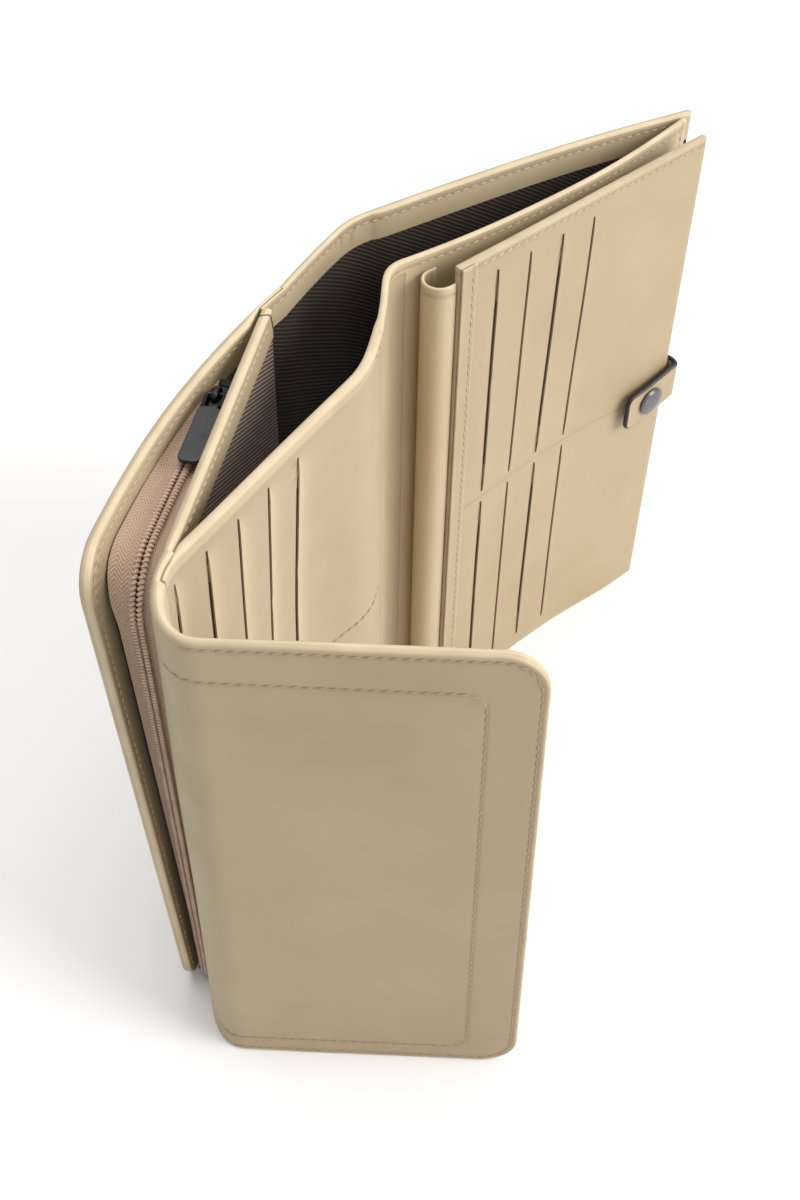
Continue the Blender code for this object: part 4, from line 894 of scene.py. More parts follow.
def bow(depth: float, grown: tuple[float, float], gone: tuple[float, float], reach: float) -> Relief:
    """Slow bulge of a sheet below its straight top edge: depth * sine(reach * pi * (1 - share of height)).

    Args:
        depth: Of the bulge.
        grown: Lengths along between which it grows.
        gone: Lengths between which it dies away again.
        reach: 1 for a straight lower edge too; less leaves that edge bowed.

    Returns:
        The bulge, as a shift of the whole sheet.
    """

    def shift(along: Array, up: Array) -> Array:
        """Shift at a place."""
        share = smooth_step(*grown, along) * (1.0 - smooth_step(*gone, along))
        return depth * share * np.sin(reach * np.pi * (1.0 - up / HEIGHT))

    return shift


def grid_faces(number: Array) -> Array:
    """Four-sided faces of a grid of numbered vertices."""
    around = [number[:-1, :-1], number[1:, :-1], number[1:, 1:], number[:-1, 1:]]
    return np.stack(around, axis=-1).reshape(-1, 4)


def along_track(track: Track) -> Place:
    """Place of (along, height, offset) in the world, for a panel that stands on a track."""
    return lambda along, height, offset: raised(track.at(along, offset), height)


@dataclass
class Panel:
    """A closed sheet with rounded edges, drawn flat and then laid along its place.

    Attributes:
        name: The piece's name.
        place: From (along, height, offset) to the world.
        span: Its start and end along.
        near: Offset of its outer face.
        far: Offset of its inner face.
        finish: What both faces are made of, where no region says otherwise.
        heights: Its lower and upper edge.
        corner: Radius of the two corners at its end.
        wave: Shift of the whole sheet.
        near_relief: What rises from the near face.
        far_relief: What rises from the far face.
        regions: Finishes of parts of the faces, each with its test of (along, height, face).
        columns: Lengths along that need a line of vertices.
        rows: Heights that need one.
        step: Widest gap between lines.
        rim: How far in the rounding of the edge reaches.
        square: Whether its start and its end are cut square, to meet another sheet without a groove.
    """

    name: str
    place: Place
    span: tuple[float, float]
    near: Level
    far: Level
    finish: Finish
    heights: tuple[float, float] = (0.0, HEIGHT)
    corner: float = 0.0
    wave: Relief = nowhere
    near_relief: Relief = nowhere
    far_relief: Relief = nowhere
    regions: Sequence[Region] = ()
    columns: Sequence[float] = ()
    rows: Sequence[float] = ()
    step: float = 0.0035
    rim: float | Level = 0.0006
    square: tuple[bool, bool] = (False, False)

    def inset(self, along: Array, height: Array) -> Array:
        """Distance in from the edge: that of a box with two rounded corners at its end."""
        low, high = self.heights
        before, after = (SQUARE_SHARE if cut else 1.0 for cut in self.square)
        inner = rounded_inset(along, height, self.span[1], self.heights, self.corner, after)
        nearer_side = (high - low) / 2 - np.abs(height - (low + high) / 2)
        start = np.minimum((along - self.span[0]) * before, nearer_side)
        return np.clip(np.minimum(inner, start), 0.0, None)

    def relief(self, face: Face, along: Array, height: Array) -> Array:
        """What rises from a face."""
        return (self.near_relief if face is Face.NEAR else self.far_relief)(along, height)

    def offset(self, face: Face, along: Array, height: Array) -> Array:
        """Offset of a face: the middle, plus half the thickness rounded off at the rim, plus the relief."""
        near, far = self.near(along), self.far(along)
        inset = self.inset(along, height)
        share = np.clip(inset / (self.rim(along) if callable(self.rim) else self.rim), 0.0, 1.0)
        half = (far - near) / 2 * np.sqrt(1.0 - (1.0 - share) ** 2)
        relief = self.relief(face, along, height) * smooth_step(0.0, RELIEF_EASE, inset)
        return (near + far) / 2 + self.wave(along, height) + face.value * (half + relief)

    def lines(self, low: float, high: float, extra: Sequence[float], step: float) -> Array:
        """Graded lines from low to high: close together at both edges, with the extra ones among them."""
        count = max(2, math.ceil((high - low) / step))
        edges = [low + inset for inset in EDGE_INSETS] + [high - inset for inset in EDGE_INSETS]
        inner = [mark for mark in (*extra, *edges) if low < mark < high]
        every = np.unique(np.round(np.concatenate([np.linspace(low, high, count + 1), inner]), 6))
        return every[np.concatenate([[True], np.diff(every) > LEAST_GAP])]

    def drop(self, along: Array) -> Array:
        """How much lower the upper edge is at a length along: R - sqrt(R * R - past * past)."""
        past = np.clip(along - (self.span[1] - self.corner), 0.0, self.corner)
        return self.corner - np.sqrt(np.maximum(self.corner**2 - past**2, 0.0))

    def build(self) -> bpy.types.Object:
        """The sheet as one closed object: two grids of faces that share the vertices of their edge."""
        low, high = self.heights
        arc = self.span[1] - self.corner + self.corner * np.sin(np.linspace(0.0, np.pi / 2, 14)) * 0.9998
        columns = (*self.columns, *(arc if self.corner else ()))
        us = self.lines(*self.span, columns, self.step)
        vs = self.lines(low, high, self.rows, 1.3 * self.step)
        band = max(2.2 * self.corner, 1e-9)
        drop = self.drop(us)[:, None]
        near_edge = np.minimum(vs - low, high - vs)[None, :]
        pull = drop * np.clip(1.0 - near_edge / band, 0.0, 1.0)
        along = np.broadcast_to(us[:, None], pull.shape)
        height = vs[None, :] + np.where(vs[None, :] < (low + high) / 2, pull, -pull)
        count = along.shape
        number = np.arange(along.size).reshape(count)
        inner = np.zeros(count, bool)
        inner[1:-1, 1:-1] = True
        back = number.copy()
        back[inner] = along.size + np.arange(int(inner.sum()))
        points, recess_shades = [], []
        for face in Face:
            points.append(self.place(along, height, self.offset(face, along, height)).reshape(-1, 3))
            # Painted shade: how far each vertex sinks below its face, in channels, slits and steps, sets how
            # dark it is painted
            recess_shades.append(np.clip(-self.relief(face, along, height) / RECESS_SHADE_DEPTH, 0.0, 1.0).ravel())
        chosen = inner.ravel()
        all_points = np.vstack([points[0], points[1][chosen]])
        recess_shade = np.concatenate([recess_shades[0], recess_shades[1][chosen]])
        worn = np.exp(-self.inset(along, height).ravel() / WORN_REACH)
        flat = np.stack([along.ravel(), height.ravel()], axis=1)
        faces, indices = [], []
        for face, grid in ((Face.NEAR, number), (Face.FAR, back)):
            quads = grid_faces(grid)
            faces.append(quads if face is Face.NEAR else quads[:, ::-1])
            centre_along = ((along[1:, 1:] + along[:-1, :-1]) / 2).ravel()
            corners = height[1:, 1:] + height[:-1, :-1] + height[1:, :-1] + height[:-1, 1:]
            centre_height = (corners / 4).ravel()
            index = np.zeros(len(quads), int)
            for slot, (_, test) in enumerate(self.regions, start=1):
                index[test(centre_along, centre_height, np.full(len(quads), face.value))] = slot
            indices.append(index)
        finishes = [self.finish, *(finish for finish, _ in self.regions)]
        return new_piece(self.name, all_points, np.vstack(faces), finishes, np.concatenate(indices),
                         np.vstack([flat, flat[chosen]]),
                         {"rim": np.concatenate([worn, worn[chosen]]), "recess_shade": recess_shade})


def beside(*centres: float, reach: float = 0.0009) -> list[float]:
    """Lines at and beside each centre, for a channel."""
    shares = (-1.0, -0.55, -0.25, 0.0, 0.25, 0.55, 1.0)
    return [centre + share * reach for centre in centres for share in shares]


STITCH_SECTIONS = ((-1.0, 0.0, -0.30), (-0.78, 0.75, 0.02), (-0.25, 1.0, 0.10), (0.25, 1.0, 0.10),
                   (0.78, 0.75, 0.02), (1.0, 0.0, -0.30))
STITCH_SIDES = 6


@dataclass
class Seam:
    """A row of stitches along a line drawn on a panel's face.

    Attributes:
        name: The piece's name.
        panel: The panel that it is sewn through.
        face: The face that shows it.
        routes: Lines of (along, height) places, one array each.
        finish: The thread.
        pitch: From one stitch to the next.
        length: Of one stitch.
        width: Of the thread.
        slant: Of each stitch from its line, in radians.
    """

    name: str
    panel: Panel
    face: Face
    routes: Sequence[Array]
    finish: Finish = Finish.THREAD
    pitch: float = 0.0030
    length: float = 0.0024
    width: float = 0.00046
    slant: float = 0.07

    def centres(self, route: Array) -> tuple[Array, Array]:
        """Places the stitches of a route, spread evenly along it.

        Args:
            route: Its (along, height) places.

        Returns:
            Each stitch's middle and its direction.
        """
        marks = running_length(route)
        count = max(1, int(marks[-1] / self.pitch))
        places = (np.arange(count) + 0.5) * marks[-1] / count
        half = self.length / 2
        ends = [np.stack([np.interp(places + side, marks, route[:, k]) for k in (0, 1)], axis=1)
                for side in (-half, half)]
        way = ends[1] - ends[0]
        return (ends[0] + ends[1]) / 2, way / np.linalg.norm(way, axis=1, keepdims=True)

    def build(self) -> bpy.types.Object:
        """Every stitch of the row, as one object of small closed threads."""
        found = [self.centres(np.asarray(route, float)) for route in self.routes]
        centre = np.vstack([item[0] for item in found])
        way = np.vstack([item[1] for item in found])
        turned = way * math.cos(self.slant) + np.stack([-way[:, 1], way[:, 0]], axis=1) * math.sin(self.slant)
        side = np.stack([-turned[:, 1], turned[:, 0]], axis=1)
        angle = np.linspace(0.0, 2 * np.pi, STITCH_SIDES, endpoint=False)
        rings = np.array(STITCH_SECTIONS)
        run = np.repeat(rings[:, 0], STITCH_SIDES) * self.length / 2
        out = np.tile(np.cos(angle), len(rings)) * np.repeat(rings[:, 1], STITCH_SIDES) * self.width / 2
        lift = np.tile(np.sin(angle), len(rings)) * np.repeat(rings[:, 1], STITCH_SIDES) * self.width * 0.42
        lift = lift + np.repeat(rings[:, 2], STITCH_SIDES) * MILLI
        spot = centre[:, None] + turned[:, None] * run[None, :, None] + side[:, None] * out[None, :, None]
        base = self.panel.offset(self.face, centre[:, 0], centre[:, 1])[:, None]
        offset = base + self.face.value * lift[None, :]
        points = self.panel.place(spot[..., 0], spot[..., 1], offset).reshape(-1, 3)
        local = np.stack([np.broadcast_to(run, offset.shape), np.broadcast_to(out, offset.shape)], axis=-1)
        faces = ring_faces(len(rings), STITCH_SIDES, closed_tips=True)
        first = np.arange(len(centre)) * len(rings) * STITCH_SIDES
        whole = (faces[None] + first[:, None, None]).reshape(-1, 4)
        return new_piece(self.name, points, whole, [self.finish], None, local.reshape(-1, 2))


def ring_faces(rings: int, sides: int, closed_tips: bool = False) -> Array:
    """Faces of a tube of rings; its two ends are closed by fans, or by tips whose ring is a single place.

    Args:
        rings: Number of rings.
        sides: Points in each ring.
        closed_tips: Whether the first and last ring are single places; their fans are then left out.

    Returns:
        Four corner numbers a row.
    """
    number = np.arange(rings * sides).reshape(rings, sides)
    after = np.roll(number, -1, axis=1)
    walls = np.stack([number[:-1], after[:-1], after[1:], number[1:]], axis=-1).reshape(-1, 4)
    caps = []
    for ring, order in ((number[0], -1), (number[-1], 1)):
        fan = np.stack([np.full(sides - 2, ring[0]), ring[1:-1], ring[2:], ring[2:]], axis=1)
        caps.append(fan if order > 0 else fan[:, [0, 2, 1, 1]])
    if closed_tips:
        first = np.stack([number[1], number[1][np.r_[1:sides, 0]], np.full(sides, number[0, 0])], axis=1)
        last = np.stack([number[-2], number[-2][np.r_[1:sides, 0]], np.full(sides, number[-1, 0])], axis=1)
        inner = walls[sides:-sides]
        return np.vstack([inner, first[:, [0, 2, 1, 1]], last[:, [0, 1, 2, 2]]])
    return np.vstack([walls, *caps])


def tube(name: str, line: Array, reference: Array, radius: Array | float, sides: int,
         finish: Finish, flat: float = 1.0) -> bpy.types.Object:
    """Round or flattened wire along a line.

    Each ring lies across the line: its points are the line's place plus radius times the cosine and sine of
    even turns, along the reference made square to the line and along the third direction.

    Args:
        name: The piece's name.
        line: Places along its middle.
        reference: Direction near which each ring starts.
        radius: Of the wire, or of each ring.
        sides: Points in each ring.
        finish: The wire's finish.
        flat: Thickness along the reference as a share of that across it.

    Returns:
        The object.
    """
    way = np.gradient(line, axis=0)
    way /= np.linalg.norm(way, axis=1, keepdims=True)
    out = np.broadcast_to(reference, line.shape)
    out = out - way * (out * way).sum(axis=1, keepdims=True)
    out /= np.linalg.norm(out, axis=1, keepdims=True)
    third = np.cross(way, out)
    angle = np.linspace(0.0, 2 * np.pi, sides, endpoint=False)
    size = np.broadcast_to(radius, (len(line),))[:, None, None]
    ring = out[:, None] * np.cos(angle)[None, :, None] * flat + third[:, None] * np.sin(angle)[None, :, None]
    points = (line[:, None] + size * ring).reshape(-1, 3)
    uv = np.stack([np.repeat(running_length(line), sides), np.tile(angle * 0.0005, len(line))], axis=1)
    return new_piece(name, points, ring_faces(len(line), sides), [finish], None, uv)


def plate(name: str, outline: Array, origin: Array, axes: tuple[Array, Array, Array], thickness: float,
          finish: Finish, round_off: float = 0.0002, dome: float = 0.0) -> bpy.types.Object:
    """Flat plate with softened edges, from an outline that its centre can see all of.

    Args:
        name: The piece's name.
        outline: Closed line of (run, side) places, in order.
        origin: Place of the outline's zero, on the plate's underside.
        axes: The run, side and upward directions.
        thickness: From underside to top.
        finish: Its finish.
        round_off: How far its edges are softened.
        dome: Extra height of the middle.

    Returns:
        The object.
    """
    centre = outline.mean(axis=0)
    away = outline - centre
    reach = np.linalg.norm(away, axis=1, keepdims=True)
    turn = np.linspace(0.0, np.pi / 2, 5)
    lower = list(zip(round_off * (1.0 - np.sin(turn)), round_off * (1.0 - np.cos(turn))))
    rings = lower + [(inset, thickness - rise) for inset, rise in reversed(lower)]
    levels = [np.column_stack([centre + away * (1 - inset / reach), np.full(len(outline), rise)])
              for inset, rise in rings]
    for share in (0.75, 0.5, 0.25):
        rise = np.full(len(outline), thickness + dome * (1.0 - share**2))
        levels.append(np.column_stack([centre + away * (1 - round_off / reach) * share, rise]))
    local = np.vstack(levels)
    run, side, up = axes
    points = origin + local[:, :1] * run + local[:, 1:2] * side + local[:, 2:] * up
    faces = ring_faces(len(levels), len(outline))
    return new_piece(name, points, faces, [finish], None, local[:, :2])


def lathe(name: str, profile: Array, centre: Array, axis: Array, sides: int,
          finish: Finish) -> bpy.types.Object:
    """Turned piece: each pair of its profile is carried round the axis, on which both ends lie.

    Args:
        name: The piece's name.
        profile: Its (radius, rise) pairs.
        centre: Place of the axis at rise 0.
        axis: Direction of the rise.
        sides: Points in each ring.
        finish: Its finish.

    Returns:
        The object.
    """
    first = np.cross(axis, np.array([0.0, 0.0, 1.0]))
    first /= np.linalg.norm(first)
    second = np.cross(axis, first)
    angle = np.linspace(0.0, 2 * np.pi, sides, endpoint=False)
    ring = first[None] * np.cos(angle)[:, None] + second[None] * np.sin(angle)[:, None]
    points = centre + profile[:, 0, None, None] * ring[None] + profile[:, 1, None, None] * axis
    uv = np.stack([np.repeat(profile[:, 0], sides), np.tile(angle * 0.003, len(profile))], axis=1)
    return new_piece(name, points.reshape(-1, 3), ring_faces(len(profile), sides), [finish], None, uv)


def rounded_route(left: float, right: float, low: float, high: float, radius: float) -> Array:
    """Line of (along, height) places along the top, round two corners and back along the bottom.

    Args:
        left: Where it starts and ends, along.
        right: Its furthest length along.
        low: Height of its lower run.
        high: Height of its upper run.
        radius: Of the two corners.

    Returns:
        The route.
    """
    turn = np.linspace(0.0, np.pi / 2, 12)
    over = np.stack([right - radius + radius * np.sin(turn), high - radius + radius * np.cos(turn)], axis=1)
    under = np.stack([right - radius + radius * np.cos(turn), low + radius - radius * np.sin(turn)], axis=1)
    return np.vstack([[left, high], over, under, [left, low]])


def straight_route(*places: tuple[float, float]) -> Array:
    """Line of (along, height) places."""
    return np.array(places)


def mounted(piece: bpy.types.Object, body: str,
            replaces: Sequence[str] = ()) -> bpy.types.Object:
    """Rides a piece on a body, hides the solids that it stands for, and reports it."""
    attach(piece, body)
    return dressed(piece, replaces)


def bent(piece: bpy.types.Object, bend: tuple[Array, Array],
         replaces: Sequence[str] = ()) -> bpy.types.Object:
    """Bakes a piece's place into its mesh, hides the solids that it stands for, and reports it."""
    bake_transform(piece)
    return dressed(piece, replaces)


def dressed(piece: bpy.types.Object, replaces: Sequence[str]) -> bpy.types.Object:
    """Hides the solids that a piece stands for, and reports it."""
    if replaces:
        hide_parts(*replaces)
    LOG.info("%s: %d vertices", piece.name, len(piece.data.vertices))
    return piece


def stretched(lining: Panel) -> None:
    """Reads a lining panel's lower and upper edge, and does nothing more with them."""
    low, high = lining.heights


# Panels


def band_relief(depth: float) -> Relief:
    """Face that steps in by a depth everywhere below the facing band."""
    return lambda along, height: -depth * (1.0 - smooth_step(*BAND_ROWS, height)) + 0.0 * along


def sum_of(*reliefs: Relief) -> Relief:
    """The reliefs, added."""
    return lambda along, height: sum(relief(along, height) for relief in reliefs)


def level_seam(height: float, start: float = -1.0, end: float = 1.0) -> Relief:
    """Channel of a seam that runs level."""
    return lambda along, up: -SEAM_DEPTH * bump(up, height, SEAM_WIDTH) * ((along > start) & (along < end))


def upright_seam(centre: float, low: float = 0.0, high: float = HEIGHT) -> Relief:
    """Channel of a seam that runs upright."""
    return lambda along, up: -SEAM_DEPTH * bump(along, centre, SEAM_WIDTH) * ((up > low) & (up < high))


def edge_seam(end: float, heights: tuple[float, float], corner: float, inset: float, start: float) -> Relief:
    """Channel at one distance in from the rounded edge of a box's end."""
    return lambda along, up: -SEAM_DEPTH * bump(rounded_inset(along, up, end, heights, corner), inset,
                                                SEAM_WIDTH) * (along > start)


@dataclass
class ZipPanel:
    """The zip pocket's outer wall: leather folded over a board, with a facing round a striped lining.

    Attributes:
        plan: The wallet's plan.
        sewn_to: How far the divider's seam keeps it at the leather's thickness.
        lining_start: Where the lining starts.
        lining_drop: How deep the lining lies below the facing.
        seam_in: From the edge to the seam.
        wave: Depth and turn of its swell.
        pleats: Depth of the gathers and their number in a whole turn.
        pleats_reach: How far down from the top they need fine lines.
    """

    plan: Plan
    sewn_to: float = 0.0106
    lining_start: float = 0.0175
    lining_drop: float = 0.00065
    seam_in: float = 0.0028
    wave: tuple[float, float] = (0.00035, 0.4)
    pleats: tuple[float, float] = (0.00016, 19.0)
    pleats_reach: float = 0.034

    def build(self) -> None:
        """Shell, lining and the two rows of stitches at its edge."""
        plan = self.plan
        place = plan.zip_place
        span = (0.0, plan.zip_length)
        inner_end = plan.zip_length - FACING_BAND
        low, high = FACING_BAND, BAND_EDGE
        wave = swell(plan.zip_length, *self.wave)
        far = level((0.0, plan.leather), (self.sewn_to, plan.leather),
                    (self.lining_start - 0.0004, plan.cover_depth))
        seam = edge_seam(span[1], (0.0, HEIGHT), plan.zip_corner, self.seam_in, self.lining_start)
        shell = Panel("ZipPanel_Leather", place, span, flat_level(0.0), far, Finish.COVER,
                      corner=plan.zip_corner, wave=wave, near_relief=seam,
                      far_relief=sum_of(seam, self.recess, self.pleated),
                      square=(True, False), regions=[(Finish.INNER, lambda along, up, face: face > 0)],
                      columns=[*beside(span[1] - self.seam_in), inner_end - BAND_SLOPE, inner_end,
                               self.lining_start, *np.arange(inner_end - 0.008, span[1], 0.0007)],
                      rows=[*beside(self.seam_in, HEIGHT - self.seam_in), low, low + BAND_SLOPE, high,
                            high - BAND_SLOPE, *np.arange(HEIGHT - self.pleats_reach, HEIGHT, 0.0008)])
        mounted(shell.build(), "zip_panel",
                ("zip_panel_leather", "zip_panel_board", "zip_panel_facing"))
        depth = plan.cover_depth - plan.facing_leather
        lining = Panel("ZipPanel_Lining", place, (self.lining_start + 0.0005, inner_end - 0.0004),
                       flat_level(depth + 0.0001), flat_level(depth + plan.lining), Finish.TWILL,
                       heights=(low + 0.0004, high - 0.0004), corner=self.inner_corner() - 0.0004,
                       wave=wave, rim=0.0003)
        cloth = mounted(lining.build(), "zip_panel", ("zip_panel_lining",))
        stretched(lining)
        route = rounded_route(self.lining_start + 0.003, span[1] - self.seam_in, self.seam_in,
                              HEIGHT - self.seam_in, plan.zip_corner - self.seam_in)
        for face, name in ((Face.NEAR, "Outer"), (Face.FAR, "Inner")):
            mounted(Seam(f"ZipPanel_Stitches_{name}", shell, face, [route]).build(), "zip_panel")

    def inner_corner(self) -> float:
        """Radius of the facing's inner corner."""
        return self.plan.zip_corner - FACING_BAND / 2

    def recess(self, along: Array, up: Array) -> Array:
        """Step down from the facing to the lining."""
        inset = rounded_inset(along, up, self.plan.zip_length - FACING_BAND, (FACING_BAND, BAND_EDGE),
                              self.inner_corner())
        inset = np.minimum(inset, along - (self.lining_start + 0.0004))
        return -self.lining_drop * smooth_step(0.0, BAND_SLOPE, inset)

    def pleated(self, along: Array, up: Array) -> Array:
        """Small gathers of the facing round the upper corner: a wave of the turn about its centre."""
        depth, count = self.pleats
        radius = self.plan.zip_corner
        right, rise = along - (self.plan.zip_length - radius), up - (HEIGHT - radius)
        turn, reach = np.arctan2(rise, right), np.hypot(right, rise)
        inside = smooth_step(-0.25, 0.15, turn) * (1.0 - smooth_step(1.15, 1.5, turn))
        rim = 1.0 - smooth_step(radius - 0.003, radius - 0.0012, reach)
        return depth * inside * (smooth_step(0.0035, 0.0055, reach) * rim) * np.sin(count * turn)


@dataclass
class Cover:
    """The cover behind the bill compartment: the loose spine and the back panel, as one leather.

    Attributes:
        plan: The wallet's plan.
        board_from: How far past the spine's end it reaches its full depth.
        lead: How far inside the zip panel the facing and the lining start.
        lining_drop: How deep the lining lies below the facing.
        wave: Depth and turn of its swell.
        creases: Depth, place, width and lean of each crease of the facing.
    """

    plan: Plan
    board_from: float = 0.0025
    lead: float = 0.0102
    lining_drop: float = 0.0007
    wave: tuple[float, float] = (0.0004, 1.9)
    creases: tuple[tuple[float, float, float, float], ...] = (
        (0.00012, 0.0290, 0.0006, -0.30), (0.00014, 0.0375, 0.0006, 0.45), (0.00010, 0.0345, 0.0005, -0.10))

    def creased(self, along: Array, up: Array) -> Array:
        """The facing's creases where the spine bends, faded out at its foot and at its rim."""
        folds = sum(-depth * bump(along + lean * (HEIGHT - up), self.lead + place, width)
                    for depth, place, width, lean in self.creases)
        above = smooth_step(BAND_EDGE, HEIGHT - 0.005, up)
        return folds * above * (1.0 - smooth_step(HEIGHT - 0.0018, HEIGHT - 0.0008, up))

    def build(self) -> None:
        """Shell, lining and the seams along the top and the bottom."""
        plan, lead = self.plan, self.lead
        track = Track.through(plan.zip_panel.at(np.linspace(lead, 0.0, 12))).then(plan.cover)
        place = along_track(track)
        spine_length = lead + plan.spine.length
        span = (0.0, track.length)
        outer = level((lead - 0.0001, -plan.leather - 0.0002), (lead, 0.0))
        deep, shallow = plan.cover_depth, plan.leather + CLEARANCE + plan.facing_leather
        near = level((spine_length, -shallow), (spine_length + self.board_from, -deep))
        wave = swell(track.length, *self.wave)
        seams = sum_of(level_seam(TOP_SEAM), level_seam(SEAM_IN), upright_seam(span[1] - SEAM_IN))
        raw = lambda along, up, face: along > span[1] - RAW_EDGE
        shell = Panel("Cover_Leather", place, span, near, outer, Finish.COVER, wave=wave,
                      near_relief=sum_of(level_seam(TOP_SEAM), band_relief(self.lining_drop), self.creased),
                      far_relief=seams, square=(True, False),
                      regions=[(Finish.INNER, lambda along, up, face: face < 0), (Finish.RAW_EDGE, raw)],
                      columns=[*beside(span[1] - SEAM_IN), *np.arange(lead + 0.022, lead + 0.044, 0.0005),
                               lead - 0.0001, lead],
                      rows=[*beside(SEAM_IN, TOP_SEAM), *BAND_ROWS])
        bodies, bend = ("middle", "back_wing"), plan.spine_bend()
        bent(shell.build(), bend,
             ("spine_leather", "spine_facing", "back_leather", "back_board", "back_facing"))
        near = level((spine_length, -shallow + 0.0002), (spine_length + self.board_from, -deep + 0.0002))
        far = level((spine_length, -plan.leather - CLEARANCE),
                    (spine_length + self.board_from, -deep + self.lining_drop))
        # The back lining takes the dark copy of the twill, as painted shade
        lining = Panel("Cover_Lining", place, (0.0003, track.length - 0.0005), near, far, Finish.FLAT_TWILL,
                       heights=(LINING_FOOT, LINING_TOP), wave=wave, rim=0.0003)
        cloth = bent(lining.build(), bend, ("spine_lining", "back_lining"))
        stretched(lining)
        top = straight_route((0.004, TOP_SEAM), (span[1] - SEAM_IN, TOP_SEAM))
        round_end = straight_route((lead + 0.004, TOP_SEAM), (span[1] - SEAM_IN, TOP_SEAM),
                                   (span[1] - SEAM_IN, SEAM_IN), (lead + 0.004, SEAM_IN))
        bent(Seam("Cover_Stitches_Inner", shell, Face.NEAR, [top]).build(), bend)
        bent(Seam("Cover_Stitches_Outer", shell, Face.FAR, [round_end]).build(), bend)


@dataclass
class FrontWrap:
    """The one leather of the divider, the front fold and the front flap, with what is sewn inside it.

    Attributes:
        plan: The wallet's plan.
        corner: Radius of the flap's corners.
        board_from: How far from the fold the pocket starts.
        divider_lining_from: How far from the divider's tip its lining starts.
        edge_seam_in: From the flap's edge to its outer seam.
        pocket_insets: From the flap's base, top and free end to the pocket.
        pocket_corner: Radius of the pocket's corners.
        pocket_seam_in: From the pocket's edge to its seam.
        lining_drop: How deep the divider's lining lies below its facing.
        wave: Depth and turn of its swell.
        taper: How much narrower the flap is at its top.
        tip_reach: How far the divider runs on past its tip.
        tack: How far down the tacking thread runs, and its radius.
    """

    plan: Plan
    corner: float = 0.0120
    board_from: float = 0.0025
    divider_lining_from: float = 0.0140
    edge_seam_in: float = 0.0020
    pocket_insets: tuple[float, float, float] = (0.0060, 0.0110, 0.0130)
    pocket_corner: float = 0.0060
    pocket_seam_in: float = 0.0022
    lining_drop: float = 0.0007
    wave: tuple[float, float] = (0.00022, 0.2)
    taper: float = 0.0045
    tip_reach: float = 0.0012
    tack: tuple[float, float] = (0.0060, 0.00014)

    def tapered(self, track: Track, flap_start: float) -> Place:
        """Place on a track whose flap end narrows towards the top: taper * share of height * share^2.

        Args:
            track: The line that it stands on.
            flap_start: Where the flap starts along it.

        Returns:
            The place.
        """
        plain = along_track(track)

        def place(along: Array, height: Array, offset: Array) -> Array:
            """Place in the world."""
            share = np.clip((along - flap_start) / self.plan.flap_length, 0.0, None)
            return plain(along - self.taper * height / HEIGHT * share**2, height, offset)

        return place

    def build(self) -> None:
        """Shell, divider lining and flap pocket."""
        plan = self.plan
        first, last = (plan.wrap.at(np.array(mark)) for mark in (plan.wrap_fold_start, plan.wrap_flap_start))
        self.build_shell((at_height(first), at_height(last)))
        self.build_divider_lining()
        self.build_pocket()
        self.build_tack()

    def pocket_seam(self, end: float) -> tuple[float, float, float]:
        """The seam of a pocket that ends at a length: its furthest length and its two heights."""
        base, top, _ = self.pocket_insets
        return end - self.pocket_seam_in, base + self.pocket_seam_in, HEIGHT - top - self.pocket_seam_in

    def build_shell(self, bend: tuple[Array, Array]) -> None:
        """The leather itself, with its rows of stitches on the flap and one on the divider's facing.

        Args:
            bend: Where it starts and stops to bend.
        """
        plan = self.plan
        begin = plan.wrap_flap_start
        place = self.tapered(plan.wrap, begin)
        span = (-self.tip_reach, begin + plan.flap_length)
        half = plan.leather / 2
        full = half + 2 * CLEARANCE + plan.board + plan.facing_leather
        lining_end = plan.divider_length - self.divider_lining_from
        skin = plan.to_inner_skin()
        fold_from = plan.wrap_fold_start - 0.004
        far = lambda along: np.where((along > fold_from) & (along < begin + 0.001), skin(along),
                                     np.where(along > begin, full, np.minimum(skin(along) - 0.0001, full)))
        rim = level((fold_from - 0.010, 0.0006), (fold_from, 0.0015), (begin, 0.0015),
                    (begin + 0.020, 0.0007))
        seam_in = self.edge_seam_in
        ends, low, high = self.pocket_seam(span[1] - self.pocket_insets[2])
        row_one = edge_seam(span[1], (0.0, HEIGHT), self.corner, seam_in, begin - 0.004)
        row_two = edge_seam(ends, (low, high), self.pocket_corner, 0.0, begin - 0.012)
        shell = Panel("Wrap_Leather", place, span, flat_level(-half), far, Finish.COVER, corner=self.corner,
                      wave=swell(span[1], *self.wave), near_relief=sum_of(row_one, row_two), rim=rim,
                      far_relief=sum_of(self.divider_step(lining_end), row_one),
                      regions=[(Finish.INNER, lambda along, up, face: face > 0)],
                      columns=[*beside(span[1] - seam_in, ends),
                               *np.arange(plan.wrap_fold_start - 0.018, begin + 0.004, 0.0005), lining_end],
                      rows=[*beside(seam_in, HEIGHT - seam_in, low, high), *BAND_ROWS])
        bent(shell.build(), bend,
             ("divider_leather", "divider_board", "divider_facing", "front_fold_leather", "front_fold_lining",
              "flap_leather", "flap_board", "flap_lining"))
        self.shell = shell
        outer, behind = (
            rounded_route(start, span[1] - seam_in, seam_in, HEIGHT - seam_in, self.corner - seam_in)
            for start in (begin - 0.003, begin + 0.005))
        inner = rounded_route(begin - 0.011, ends, low, high, self.pocket_corner)
        rows = Seam("Flap_Stitches_Outer", shell, Face.NEAR, [outer, inner], Finish.TONAL_THREAD)
        bent(rows.build(), bend)
        bent(Seam("Flap_Stitches_Inner", shell, Face.FAR, [behind]).build(), bend)
        facing = straight_route((0.004, TOP_SEAM), (lining_end + 0.002, TOP_SEAM))
        bent(Seam("Divider_Stitches", shell, Face.FAR, [facing]).build(), bend)

